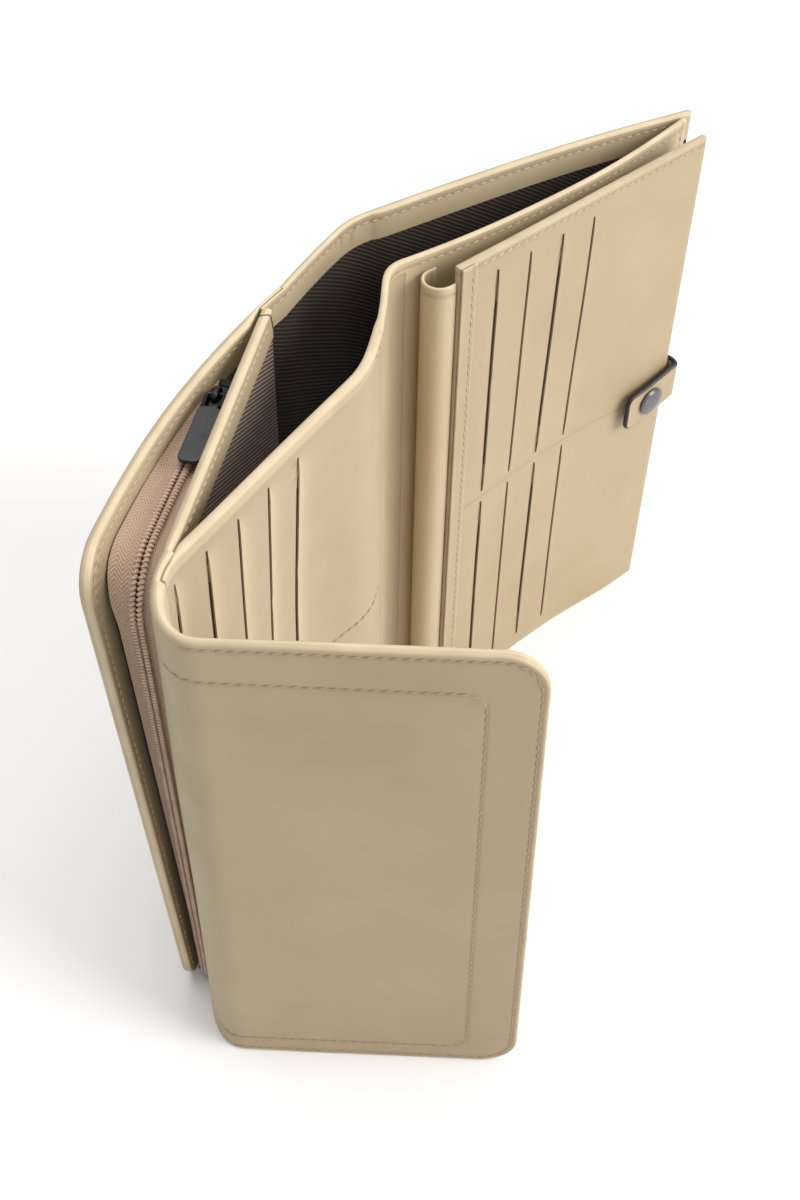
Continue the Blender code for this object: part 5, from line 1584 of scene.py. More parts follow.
    def divider_step(self, lining_end: float) -> Relief:
        """The divider's facing stands above the lining below it."""
        band = band_relief(self.lining_drop)
        return lambda along, up: band(along, up) * (1.0 - smooth_step(lining_end - 0.0004, lining_end, along))

    def build_tack(self) -> None:
        """The tacking thread at the divider's tip: over the rim and down its facing."""
        drop, radius = self.tack
        along = np.array([0.0030, 0.0024, 0.0016, 0.0010, 0.0003, -0.0004])
        height = HEIGHT + np.array([-0.0012, 0.0001, 0.0001, -0.0010, -0.5 * drop, -drop])
        face = self.shell.far(along) + radius
        offset = np.array([-self.plan.leather / 2 - radius, -0.0001, face[2] - 0.0004, *face[3:]])
        marks, fine = np.arange(6.0), np.linspace(0.0, 5.0, 41)
        line = self.shell.place(*(np.interp(fine, marks, values) for values in (along, height, offset)))
        mounted(tube("Divider_Tack", line, np.array([1.0, 0.0, 0.0]), radius, 6, Finish.CUT), "middle")

    def build_divider_lining(self) -> None:
        """Striped cloth on the divider's bill side."""
        plan = self.plan
        facing = plan.divider_layers[0]
        lining = Panel("Divider_Lining", along_track(plan.divider),
                       (self.divider_lining_from + 0.0005, plan.divider_length + 0.0006),
                       flat_level(facing[1] - plan.lining), flat_level(facing[1] - 0.00005), Finish.TWILL,
                       heights=(LINING_FOOT, LINING_TOP), rim=0.0003)
        cloth = mounted(lining.build(), "middle", ("divider_lining",))
        stretched(lining)

    def build_pocket(self) -> None:
        """Slip pocket on the flap's inside, open towards the fold."""
        plan = self.plan
        base, top, free = self.pocket_insets
        near, far = plan.flap_layers[3]
        end = plan.flap_length - free
        seam_end, low, high = self.pocket_seam(end)
        seam = edge_seam(seam_end, (low, high), self.pocket_corner, 0.0, 0.004)
        pocket = Panel("Flap_Pocket", self.tapered(plan.flap, 0.0), (self.board_from, end), flat_level(near),
                       flat_level(far), Finish.INNER, heights=(base, HEIGHT - top), corner=self.pocket_corner,
                       far_relief=seam, columns=beside(seam_end), rows=beside(low, high), rim=0.0003)
        mounted(pocket.build(), "flap", ("flap_pocket",))
        route = rounded_route(0.005, seam_end, low, high, self.pocket_corner)
        mounted(Seam("Pocket_Stitches", pocket, Face.FAR, [route]).build(), "flap")


@dataclass
class SlitRows:
    """Two rows of card slits cut in a leather face, each with its lifted lip and a dark floor: the cut edge's
    brown, darkened further as painted shade inside the slit.

    Attributes:
        centres: Length along of each slit.
        widths: How wide each one gapes at its middle.
        end_inset: From the panel's edge to the nearest end of a slit.
        row_gap: Between the two rows.
        depth: How deep a slit shows.
        lip: How high the lip beside it is lifted.
        lip_fall: Over what length the lip falls away.
        least: Half the width of a slit at its ends.
    """

    centres: Sequence[float]
    widths: Sequence[float]
    end_inset: float = 0.0068
    row_gap: float = 0.0046
    depth: float = 0.0006
    lip: float = 0.00032
    lip_fall: float = 0.0022
    least: float = 0.00026

    def spans(self) -> list[tuple[float, float]]:
        """Lower and upper end of each row."""
        half = self.row_gap / 2
        return [(self.end_inset, MIDDLE - half), (MIDDLE + half, HEIGHT - self.end_inset)]

    def opening(self, along: Array, up: Array) -> Array:
        """How far inside a slit a place is.

        A slit's half width is least + (half its gape - least) * (1 - share^6), with share the part of the way
        from its middle to its end.

        Args:
            along: Lengths along the panel.
            up: Heights.

        Returns:
            The distances in metres, negative outside.
        """
        best = np.full(np.broadcast(along, up).shape, -1.0)
        for low, high in self.spans():
            middle, half = (low + high) / 2, (high - low) / 2
            share = np.clip(1.0 - (np.abs(up - middle) / half) ** 6, 0.0, 1.0)
            for centre, width in zip(self.centres, self.widths):
                room = (self.least + (width / 2 - self.least) * share) * (np.abs(up - middle) < half)
                best = np.maximum(best, np.where(room > 0, room - np.abs(along - centre), -1.0))
        return best

    def relief(self, along: Array, up: Array) -> Array:
        """The slits, cut down steeply, and the lips that rise beside them.

        A lip is lip * exp(-past / lip_fall) high, with past the distance from its slit's edge.

        Args:
            along: Lengths along the panel.
            up: Heights.

        Returns:
            What rises from the face; negative in a slit.
        """
        cut = self.depth * smooth_step(-0.00004, 0.00012, self.opening(along, up))
        rise = np.zeros(np.broadcast(along, up).shape)
        for low, high in self.spans():
            below = 1.0 - smooth_step(high - 0.006, high + 0.002, up)
            inside = smooth_step(low - 0.002, low + 0.006, up) * below
            for centre, width in zip(self.centres, self.widths):
                past = along - (centre + width / 2)
                fall = np.exp(-np.clip(past, 0, None) / self.lip_fall)
                rise = rise + inside * self.lip * (past > -width) * fall
        return rise - cut - 0.6 * rise * (cut > 0)

    def cloth(self, along: Array, up: Array, face: Array) -> Array:
        """Whether a face of the mesh is the floor of a slit, which takes the cut edge's brown and the painted
        shade inside it.
        """
        return (face < 0) & (self.opening(along, up) > 0.00006)

    def columns(self) -> list[float]:
        """Lines at the slits."""
        found: list[float] = []
        for centre, width in zip(self.centres, self.widths):
            half = width / 2
            found += [centre + side * (half + more)
                      for side in (-1, 1) for more in (-0.00014, -0.00005, 0.00004)]
            found += [centre, centre + half + 0.0004, centre + half + 0.0012, centre + half + 0.0024]
        return found

    def rows(self) -> list[float]:
        """Lines at the slits' ends."""
        near = (-0.0012, -0.0006, -0.0002, -0.00003, 0.00003, 0.0003, 0.0008, 0.0016, 0.003, 0.005, 0.008)
        low_row, high_row = self.spans()
        ends = [(low_row[0], 1), (low_row[1], -1), (high_row[0], 1), (high_row[1], -1)]
        return [end + way * step for end, way in ends for step in near]


@dataclass
class CardPanel:
    """Card panel and the loose corner strip that turns from it to the document panel.

    Attributes:
        plan: The wallet's plan.
        back_from: Where its lining starts.
        wave: Depth and turn of its swell.
        bow: Depth of its bow, the lengths between which it grows and goes, and its reach.
        turned: How far the turned top edge stands out, and the two ends of its slope below the rim.
        slits: Its card slits.
    """

    plan: Plan
    back_from: float = 0.0150
    wave: tuple[float, float] = (0.0003, 2.8)
    bow: tuple[float, tuple[float, float], tuple[float, float], float] = (
        0.0038, (0.016, 0.060), (0.066, 0.094), 1.0)
    turned: tuple[float, float, float] = (0.00016, 0.0042, 0.0034)
    slits: SlitRows = field(default_factory=lambda: SlitRows(
        [0.0055 + 0.0125 * index for index in range(5)], [0.0009, 0.0010, 0.0006, 0.0006, 0.0009]))

    def build(self) -> None:
        """Shell, lining and seams."""
        plan = self.plan
        track, card_end = plan.card.then(plan.corner), plan.card.length
        place = along_track(track)
        span = (0.0, track.length + 0.0004)
        face, corner = plan.card_layers, plan.document_layers
        near = level((card_end - 0.003, face[0][0]), (card_end + 0.001, corner[0][0] - 0.00002))
        past_end = level((card_end - 0.003, face[2][1]), (card_end + 0.001, corner[1][1] + 0.00002))
        right = heading_vector(plan.divider_heading - 90)

        def far(along: Array) -> Array:
            """Back face: as thick as the room before the divider lets it be."""
            skin, back = face[0][1], face[2][1]
            room = (plan.card.at(along, skin) - plan.divider.points[0]) @ right + plan.divider_layers[0][0]
            return np.minimum(past_end(along), skin + np.clip(room - 0.0002, 0.0, back - skin))

        rim, foot, head = self.turned
        turned = lambda along, up: -rim * (1.0 - smooth_step(HEIGHT - foot, HEIGHT - head, up)) + 0.0 * along
        upright_at = card_end - 0.005
        mid_seam = level_seam(MIDDLE, 0.001, upright_at - 0.001)
        wave = sum_of(swell(track.length, *self.wave), bow(*self.bow))
        shell = Panel("CardPanel_Leather", place, span, near, far, Finish.INNER, wave=wave,
                      near_relief=sum_of(self.slits.relief, mid_seam, level_seam(TOP_SEAM, 0.07, 1.0),
                                         upright_seam(upright_at), turned),
                      far_relief=sum_of(band_relief(BAND_STEP), level_seam(TOP_SEAM)), square=(True, True),
                      regions=[(Finish.CUT, self.slits.cloth)],
                      columns=[*self.slits.columns(), *beside(upright_at), *np.arange(0.004, 0.016, 0.001),
                               *np.arange(card_end - 0.004, track.length, 0.0008)],
                      rows=[*self.slits.rows(), *beside(MIDDLE, TOP_SEAM), *BAND_ROWS,
                            *beside(HEIGHT - (foot + head) / 2, reach=0.0006)])
        bend = (at_height(track.points[-1]), at_height(plan.card.at(np.array(card_end - 0.002))))
        bent(shell.build(), bend,
             ("card_panel_face", "card_panel_pockets", "card_panel_facing", "inner_corner_leather",
              "inner_corner_facing"))
        near = level((card_end - 0.003, face[2][1] - 0.0002), (card_end + 0.001, corner[1][1] - 0.0002))
        far = level((card_end - 0.003, face[2][1] + 0.0002), (card_end + 0.001, corner[1][1] + 0.0002))
        lining = Panel("CardPanel_Lining", place, (self.back_from + 0.0005, span[1] - 0.0004), near, far,
                       Finish.TWILL, heights=(0.0006, LINING_TOP), wave=wave, rim=0.0002)
        cloth = bent(lining.build(), bend,
                     ("card_panel_lining", "inner_corner_lining"))
        stretched(lining)
        across = straight_route((0.003, MIDDLE), (upright_at - 0.002, MIDDLE))
        over = straight_route((upright_at - 0.008, TOP_SEAM), (span[1] - 0.002, TOP_SEAM))
        top = straight_route((self.back_from + 0.003, TOP_SEAM), (span[1] - 0.003, TOP_SEAM))
        rows = Seam("CardPanel_Stitches", shell, Face.NEAR, [across, over], Finish.TONAL_THREAD)
        bent(rows.build(), bend)
        bent(Seam("CardPanel_Stitches_Back", shell, Face.FAR, [top]).build(), bend)


@dataclass
class DocumentPanel:
    """Panel behind the leaf, and the rolled gusset that carries the leaf.

    Attributes:
        plan: The wallet's plan.
        wave: Depth and turn of its swell.
        roll_inset: From the panel's top and base to the gusset's.
        roll_seam_in: From the gusset's top to its seam.
        roll_bend: Where the gusset starts and stops to bend, as shares of its length.
    """

    plan: Plan
    wave: tuple[float, float] = (0.00025, 3.5)
    roll_inset: float = 0.0050
    roll_seam_in: float = 0.003
    roll_bend: tuple[float, float] = (0.15, 0.85)

    def build(self) -> None:
        """Shell, lining, seams and the roll."""
        plan = self.plan
        place = along_track(plan.document)
        face, back = plan.document_layers
        span = (0.0, plan.document_length)
        wave = swell(plan.document_length, *self.wave)
        raw = lambda along, up, side: along > span[1] - RAW_EDGE
        shell = Panel("Document_Leather", place, span, flat_level(face[0]), flat_level(back[1]), Finish.INNER,
                      wave=wave, near_relief=sum_of(level_seam(TOP_SEAM), upright_seam(span[1] - SEAM_IN)),
                      far_relief=sum_of(band_relief(BAND_STEP), level_seam(TOP_SEAM)), square=(True, False),
                      regions=[(Finish.RAW_EDGE, raw)], columns=beside(span[1] - SEAM_IN),
                      rows=[*beside(TOP_SEAM), *BAND_ROWS])
        mounted(shell.build(), "document_wing", ("document_leather", "document_facing"))
        lining = Panel("Document_Lining", place, (0.0005, span[1] - 0.0006), flat_level(back[1] - 0.0002),
                       flat_level(back[1] + 0.0002), Finish.TWILL, heights=(LINING_FOOT, LINING_TOP),
                       wave=wave, rim=0.0002)
        cloth = mounted(lining.build(), "document_wing", ("document_lining",))
        stretched(lining)
        top = straight_route((0.004, TOP_SEAM), (span[1] - SEAM_IN, TOP_SEAM),
                             (span[1] - SEAM_IN, SEAM_IN))
        mounted(Seam("Document_Stitches", shell, Face.NEAR, [top]).build(), "document_wing")
        back_top = straight_route((0.004, TOP_SEAM), (span[1] - 0.004, TOP_SEAM))
        mounted(Seam("Document_Stitches_Back", shell, Face.FAR, [back_top]).build(), "document_wing")
        self.build_roll()

    def build_roll(self) -> None:
        """The gusset, bent between the document panel and the leaf."""
        plan = self.plan
        half = plan.roll_leather / 2
        seam = HEIGHT - self.roll_inset - self.roll_seam_in
        # The gusset takes the lighter inner copy of the leather, partly as painted light in its niche
        roll = Panel("Roll_Gusset", along_track(plan.roll), (0.0, plan.roll.length), flat_level(-half),
                     flat_level(half), Finish.INNER, heights=(self.roll_inset, HEIGHT - self.roll_inset),
                     step=0.0012, near_relief=level_seam(seam), rows=beside(seam))
        start, end = (at_height(plan.roll.at(np.array(mark * plan.roll.length))) for mark in self.roll_bend)
        bent(roll.build(), (start, end), ("roll_gusset",))


@dataclass
class Leaf:
    """The turning leaf with its card slits and binding.

    Attributes:
        plan: The wallet's plan.
        slits: Its card slits.
        wave: Depth and turn of its swell.
        bow: Depth of its bow, the lengths between which it grows and goes, and its reach.
        seam_in: From the top to the seam.
        middle_seam_share: Depth of the middle seam's channel, as a share of the others'.
        binding: Width and thickness of the binding.
        binding_seam_in: From the binding's edge to its seam.
    """

    plan: Plan
    slits: SlitRows = field(default_factory=lambda: SlitRows(
        [0.0145, 0.0274, 0.0403, 0.0532], [0.0011, 0.0006, 0.0011, 0.0006]))
    wave: tuple[float, float] = (0.00022, 5.2)
    bow: tuple[float, tuple[float, float], tuple[float, float], float] = (
        0.0023, (0.004, 0.045), (0.055, 0.092), 0.62)
    seam_in: float = 0.0022
    middle_seam_share: float = 0.6
    binding: tuple[float, float] = (0.0055, 0.0007)
    binding_seam_in: float = 0.0014

    def build(self) -> None:
        """Shell, binding and seams."""
        plan = self.plan
        place = along_track(plan.leaf)
        layers_found = stack(plan.card_leather, plan.lining, plan.facing_leather)
        near, far = layers_found[0][0], layers_found[2][1]
        span = (0.0, plan.leaf_length)
        seams = level_seam(HEIGHT - self.seam_in)
        faint = lambda along, up: self.middle_seam_share * level_seam(MIDDLE)(along, up)
        shell = Panel("Leaf_Leather", place, span, flat_level(near), flat_level(far), Finish.LEAF,
                      wave=sum_of(swell(plan.leaf_length, *self.wave), bow(*self.bow)),
                      near_relief=sum_of(self.slits.relief, seams, faint), far_relief=seams,
                      regions=[(Finish.CUT, self.slits.cloth)], columns=self.slits.columns(),
                      rows=[*self.slits.rows(), *beside(MIDDLE, HEIGHT - self.seam_in)])
        mounted(shell.build(), "leaf", ("leaf_face", "leaf_pockets", "leaf_back"))
        width, thick = self.binding
        over, seam = near - CLEARANCE, width - self.binding_seam_in
        binding = Panel("Leaf_Binding", place, (0.0, width), flat_level(over - thick), flat_level(over),
                        Finish.LEAF, near_relief=upright_seam(seam), columns=beside(seam), step=0.0014,
                        wave=shell.wave, rim=0.0004)
        mounted(binding.build(), "leaf", ("leaf_binding",))
        top = HEIGHT - self.seam_in
        edge = straight_route((width + 0.002, top), (span[1] - 0.004, top))
        mounted(Seam("Leaf_Stitches", shell, Face.NEAR, [edge]).build(), "leaf")
        mounted(Seam("Leaf_Stitches_Back", shell, Face.FAR, [edge]).build(), "leaf")
        bound = straight_route((seam, 0.003), (seam, HEIGHT - 0.003))
        mounted(Seam("Leaf_Binding_Stitches", binding, Face.NEAR, [bound]).build(), "leaf")


@dataclass
class Strap:
    """Short strap round the leaf's free edge, with its press stud.

    Attributes:
        plan: The wallet's plan.
        height: Of its middle.
        width: From side to side.
        thickness: Of its leather.
        reach: From the leaf's edge to the tab's end.
        back_reach: From the leaf's edge to the end behind the leaf.
        corner: Radius of the tab's corners.
        ring_height: How far the stud keeps the tab from the leaf.
        stud_from_edge: From the leaf's edge to the stud.
        cap_radius: Of the stud's cap.
        cap_height: Of the stud's cap.
        paint: Width of the painted rim.
        lift: How far the band rises towards the leaf's edge.
        lift_power: How steeply it does.
        bend_handles: Handles of the bend's curve, as shares of the distance that it spans.
    """

    plan: Plan
    height: float = 0.0938
    width: float = 0.0140
    thickness: float = 0.0018
    reach: float = 0.0220
    back_reach: float = 0.0160
    corner: float = 0.0030
    ring_height: float = 0.0013
    stud_from_edge: float = 0.0110
    cap_radius: float = 0.0051
    cap_height: float = 0.0016
    paint: float = 0.0007
    lift: float = 0.0034
    lift_power: float = 1.5
    bend_handles: tuple[float, float] = (0.42, 0.42)

    def build(self) -> None:
        """The strap in one band with painted edges, and the stud's cap."""
        plan = self.plan
        sheets = stack(plan.card_leather, plan.lining, plan.facing_leather)
        half = self.thickness / 2
        front = sheets[0][0] - CLEARANCE - self.ring_height - half
        rear = sheets[2][1] + CLEARANCE + half
        leaf, length = plan.leaf, plan.leaf_length
        rear_run = Track.through(leaf.at(np.linspace(length - self.back_reach, length + CLEARANCE, 12), rear))
        front_run = Track.through(leaf.at(np.linspace(length + CLEARANCE, length - self.reach, 12), front))
        heading = plan.leaf_heading
        bend = Track.cubic(rear_run.points[-1], heading, front_run.points[0], heading - 180,
                           self.bend_handles)
        track = rear_run.then(bend).then(front_run)
        low, high = self.height - self.width / 2, self.height + self.width / 2
        paint = lambda along, up, face: self.painted(along, up, track.length)
        flat_place = along_track(track)
        edge_at = rear_run.length + bend.length

        def place(along: Array, up: Array, offset: Array) -> Array:
            """Place on the band, which rises towards the leaf's edge."""
            return flat_place(along, up + self.risen((along - edge_at) / self.reach), offset)

        band = Panel("Strap_Band", place, (0.0, track.length), flat_level(-half), flat_level(half),
                     Finish.STRAP, heights=(low, high), corner=self.corner,
                     regions=[(Finish.EDGE_PAINT, paint)], rows=(low + self.paint, high - self.paint),
                     columns=np.arange(rear_run.length, edge_at, 0.0004), step=0.0014,
                     rim=0.0008)
        ends = (at_height(rear_run.points[-1], self.height), at_height(front_run.points[0], self.height))
        bent(band.build(), ends,
             ("strap_tab", "strap_bend", "strap_anchor"))
        self.build_cap(front - half)

    def risen(self, share: Array | float) -> Array | float:
        """How far the strap is lifted at a share of its reach from the leaf's edge."""
        return self.lift * (1.0 - np.clip(share, 0.0, 1.0)) ** self.lift_power

    def painted(self, along: Array, up: Array, length: float) -> Array:
        """Whether a place is in the painted rim: along the sides, at both ends and round the two corners."""
        past = along - (length - self.corner)
        beyond = np.abs(up - self.height) - (self.width / 2 - self.corner)
        rounded = (past > 0) & (beyond > 0) & (np.hypot(past, beyond) > self.corner - self.paint)
        side = np.abs(up - self.height) > self.width / 2 - self.paint
        return side | (along > length - self.paint) | (along < self.paint) | rounded

    def build_cap(self, face: float) -> None:
        """The stud's domed cap, with a rolled rim.

        Args:
            face: Offset of the tab's outer face from the leaf's middle.
        """
        out = np.array([*heading_vector(self.plan.leaf_heading - 90), 0.0])
        spot = self.plan.leaf.at(np.array(self.plan.leaf_length - self.stud_from_edge), face - CLEARANCE)
        r, h = self.cap_radius, self.cap_height
        turn = np.linspace(0.0, np.pi / 2, 12)
        dome = np.stack([0.9 * r * np.cos(turn), 0.45 * h + 0.55 * h * np.sin(turn)], axis=1)
        rim = np.array([[0.0, 0.0], [0.92 * r, 0.0], [0.985 * r, 0.1 * h], [r, 0.28 * h],
                        [0.985 * r, 0.42 * h], [0.945 * r, 0.47 * h], [0.92 * r, 0.45 * h]])
        profile = np.vstack([rim, dome[:-1], [[0.0, h]]])
        raised_to = self.height + self.risen(self.stud_from_edge / self.reach)
        cap = lathe("Stud_Cap", profile, at_height(spot, raised_to), out, 48, Finish.NICKEL)
        mounted(cap, "strap", ("snap_cap",))


# Zip

# Width at which a tape is drawn before it is laid between its edges
TAPE_DRAWN = 0.0100


def sagging(depth: float) -> Relief:
    """Sag across a tape, which sets in over its first 20 mm."""
    return lambda run, share: (-depth * np.sin(np.pi * np.clip(share / TAPE_DRAWN, 0, 1))
                               * smooth_step(0.0, 0.02, run))


@dataclass
class Zip:
    """The zip along the pocket's mouth: two tapes and two coils.

    Attributes:
        plan: The wallet's plan.
        start: Where it starts along the zip panel.
        top_inset: From the top to its straight run.
        free_inset: From the panel's free edge to its run down.
        corner: Radius between the two runs.
        base_inset: From the base to its lower end.
        from_divider: Its line's place between the walls, as a share of the way from the divider.
        tape: Thickness of the tapes.
        chain: Thickness of the coils.
        chain_width: Width of one coil.
        split: Between the two.
        under_chain: How far a tape reaches below its coil, as a share of the coil's width.
        slider_at: Place of the slider.
        slider_length: Of the slider.
        slider_width: Of the slider.
        slider_plate: Thickness of its two plates.
        web_length: Of the web that joins them.
        coil_pitch: From one turn of the coil to the next.
        coil_wire: Radius of its wire.
        free_from_panel: How far the outer tape keeps from the panel on its way down.
        sags: Of the outer and the inner tape.
        coil_steps: Places drawn in one turn.
    """

    plan: Plan
    start: float = 0.0340
    top_inset: float = 0.0070
    free_inset: float = 0.0060
    corner: float = 0.0130
    base_inset: float = 0.0060
    from_divider: float = 0.39
    tape: float = 0.0006
    chain: float = 0.0013
    chain_width: float = 0.0019
    split: float = 0.0003
    under_chain: float = 0.65
    slider_at: float = 0.0430
    slider_length: float = 0.0085
    slider_width: float = 0.0050
    slider_plate: float = 0.0009
    web_length: float = 0.0022
    coil_pitch: float = 0.00115
    coil_wire: float = 0.00044
    free_from_panel: float = 0.0022
    sags: tuple[float, float] = (0.0011, 0.0004)
    coil_steps: int = 9

    def line(self, step: float = 0.0004) -> Array:
        """The zip's line: along the top, round one corner and down.

        Args:
            step: From one place to the next.

        Returns:
            Rows of (along, height, direction of its upper side in radians).
        """
        top = HEIGHT - self.top_inset
        free = self.plan.zip_length - self.free_inset
        run = np.arange(self.start, free - self.corner, step)
        turn = np.arange(0.0, np.pi / 2, step / self.corner)
        fall = np.arange(top - self.corner, self.base_inset, -step)
        straight = np.stack([run, np.full(len(run), top), np.full(len(run), np.pi / 2)], axis=1)
        bend = np.stack([free - self.corner + self.corner * np.sin(turn),
                         top - self.corner + self.corner * np.cos(turn), np.pi / 2 - turn], axis=1)
        down = np.stack([np.full(len(fall), free), fall, np.zeros(len(fall))], axis=1)
        return np.vstack([straight, bend, down])

    def frame_at(self, run: Array) -> tuple[Array, Array, Array]:
        """Along, height and upper side at lengths run along the zip's line."""
        line = self.line()
        marks = running_length(line[:, :2])
        return tuple(np.interp(run, marks, line[:, k]) for k in range(3))

    def total(self) -> float:
        """Length of the zip's line."""
        return float(np.linalg.norm(np.diff(self.line()[:, :2], axis=0), axis=1).sum())

    def walls(self, along: Array, height: Array | float) -> tuple[Array, Array, Array, Array]:
        """The pocket's two walls, the zip's line between them and the direction towards the divider."""
        outer, inner = self.plan.pocket(along, height)
        line = inner + (outer - inner) * self.from_divider
        across = (inner - outer) / np.linalg.norm(inner - outer, axis=-1, keepdims=True)
        return outer, inner, line, across

    def place(self, run: Array, across: Array, rise: Array) -> Array:
        """Place in the world from a length run, a distance towards the divider and a rise above the tape."""
        along, height, turn = self.frame_at(run)
        shifted = along + rise * np.cos(turn)
        lifted = height + rise * np.sin(turn)
        _, _, line, way = self.walls(shifted, lifted)
        return raised(line + way * np.broadcast_to(across, shifted.shape)[..., None], lifted)

    def share_place(self, low: Callable[[Array], Array], high: Callable[[Array], Array]) -> Place:
        """Place on a tape whose height coordinate runs from 0 at one edge to TAPE_DRAWN at the other.

        Args:
            low: Distance of its first edge from the zip's line, at lengths run along it.
            high: The same for its other edge.

        Returns:
            The place.
        """

        def place(run: Array, share: Array, rise: Array) -> Array:
            """Place at a share of the way across the tape."""
            first, last = low(run), high(run)
            across = first + (last - first) * np.broadcast_to(share, run.shape) / TAPE_DRAWN
            return self.place(run, across, np.broadcast_to(rise, run.shape))

        return place

    def edges(self, run: Array) -> tuple[Array, Array]:
        """The walls' distances from the zip's line: the outer one negative, the divider's positive."""
        along, height, _ = self.frame_at(run)
        outer, inner = self.plan.pocket(along, height)
        width = np.linalg.norm(inner - outer, axis=-1)
        return width * self.from_divider - width, width * self.from_divider

    def build(self) -> None:
        """Tapes and coils."""
        half = self.split / 2 + self.chain_width
        under = half - self.chain_width * self.under_chain - 0.00025
        total = self.total()
        bend_from = self.plan.zip_length - self.free_inset - self.corner - self.start
        loose = lambda run: self.free_from_panel * smooth_step(bend_from + 0.006, bend_from + 0.026, run)
        outer = self.share_place(lambda run: self.edges(run)[0] + loose(run),
                                 lambda run: np.full(run.shape, -under))
        inner = self.share_place(lambda run: np.full(run.shape, under), lambda run: self.edges(run)[1])
        for name, place, body, node, sag in (
                ("Zip_Tape_Outer", outer, "zip_panel", "zip_tape_outer", self.sags[0]),
                ("Zip_Tape_Inner", inner, "middle", "zip_tape_inner", self.sags[1])):
            tape = Panel(name, place, (0.0, total), flat_level(0.0), flat_level(self.tape), Finish.TAPE,
                         heights=(0.0, TAPE_DRAWN), wave=sagging(sag), step=0.0016, rim=0.0003,
                         rows=np.arange(0.0006, TAPE_DRAWN, 0.0006))
            mounted(tape.build(), body, (node,))
        web_end = self.slider_at - self.slider_length / 2 + self.web_length
        first = web_end + CLEARANCE - self.start
        for name, side, node in (("Zip_Coil_Outer", -1, "zip_chain_outer"),
                                 ("Zip_Coil_Inner", 1, "zip_chain_inner")):
            mounted(self.coil(name, side, first, total), "middle", (node,))

    def coil(self, name: str, side: int, first: float, last: float) -> bpy.types.Object:
        """One half of the chain: a flattened spiral of wire.

        Its place runs evenly along the zip while the cosine and sine of its turn move it across and up.

        Args:
            name: The piece's name.
            side: -1 for the outer half, 1 for the divider's.
            first: Where it starts along the zip.
            last: Where it ends.

        Returns:
            The object.
        """
        turns = (last - first) / self.coil_pitch
        count = int(turns * self.coil_steps)
        run = np.linspace(first + 0.0003, last - 0.0003, count)
        turn = 2 * np.pi * turns * np.linspace(0.0, 1.0, count) + (0.0 if side > 0 else np.pi)
        wire = self.coil_wire
        wide = (self.chain_width - 2 * wire) / 2
        tall = (self.chain - 2 * wire) / 2
        across = side * (0.00002 + self.chain_width / 2) + wide * np.cos(turn)
        rise = self.tape + CLEARANCE + self.chain / 2 + tall * np.sin(turn)
        line = self.place(run, across, rise)
        way = self.place(run + 0.0005, across, rise) - self.place(run - 0.0005, across, rise)
        return tube(name, line, way, wire, 6, Finish.COIL)


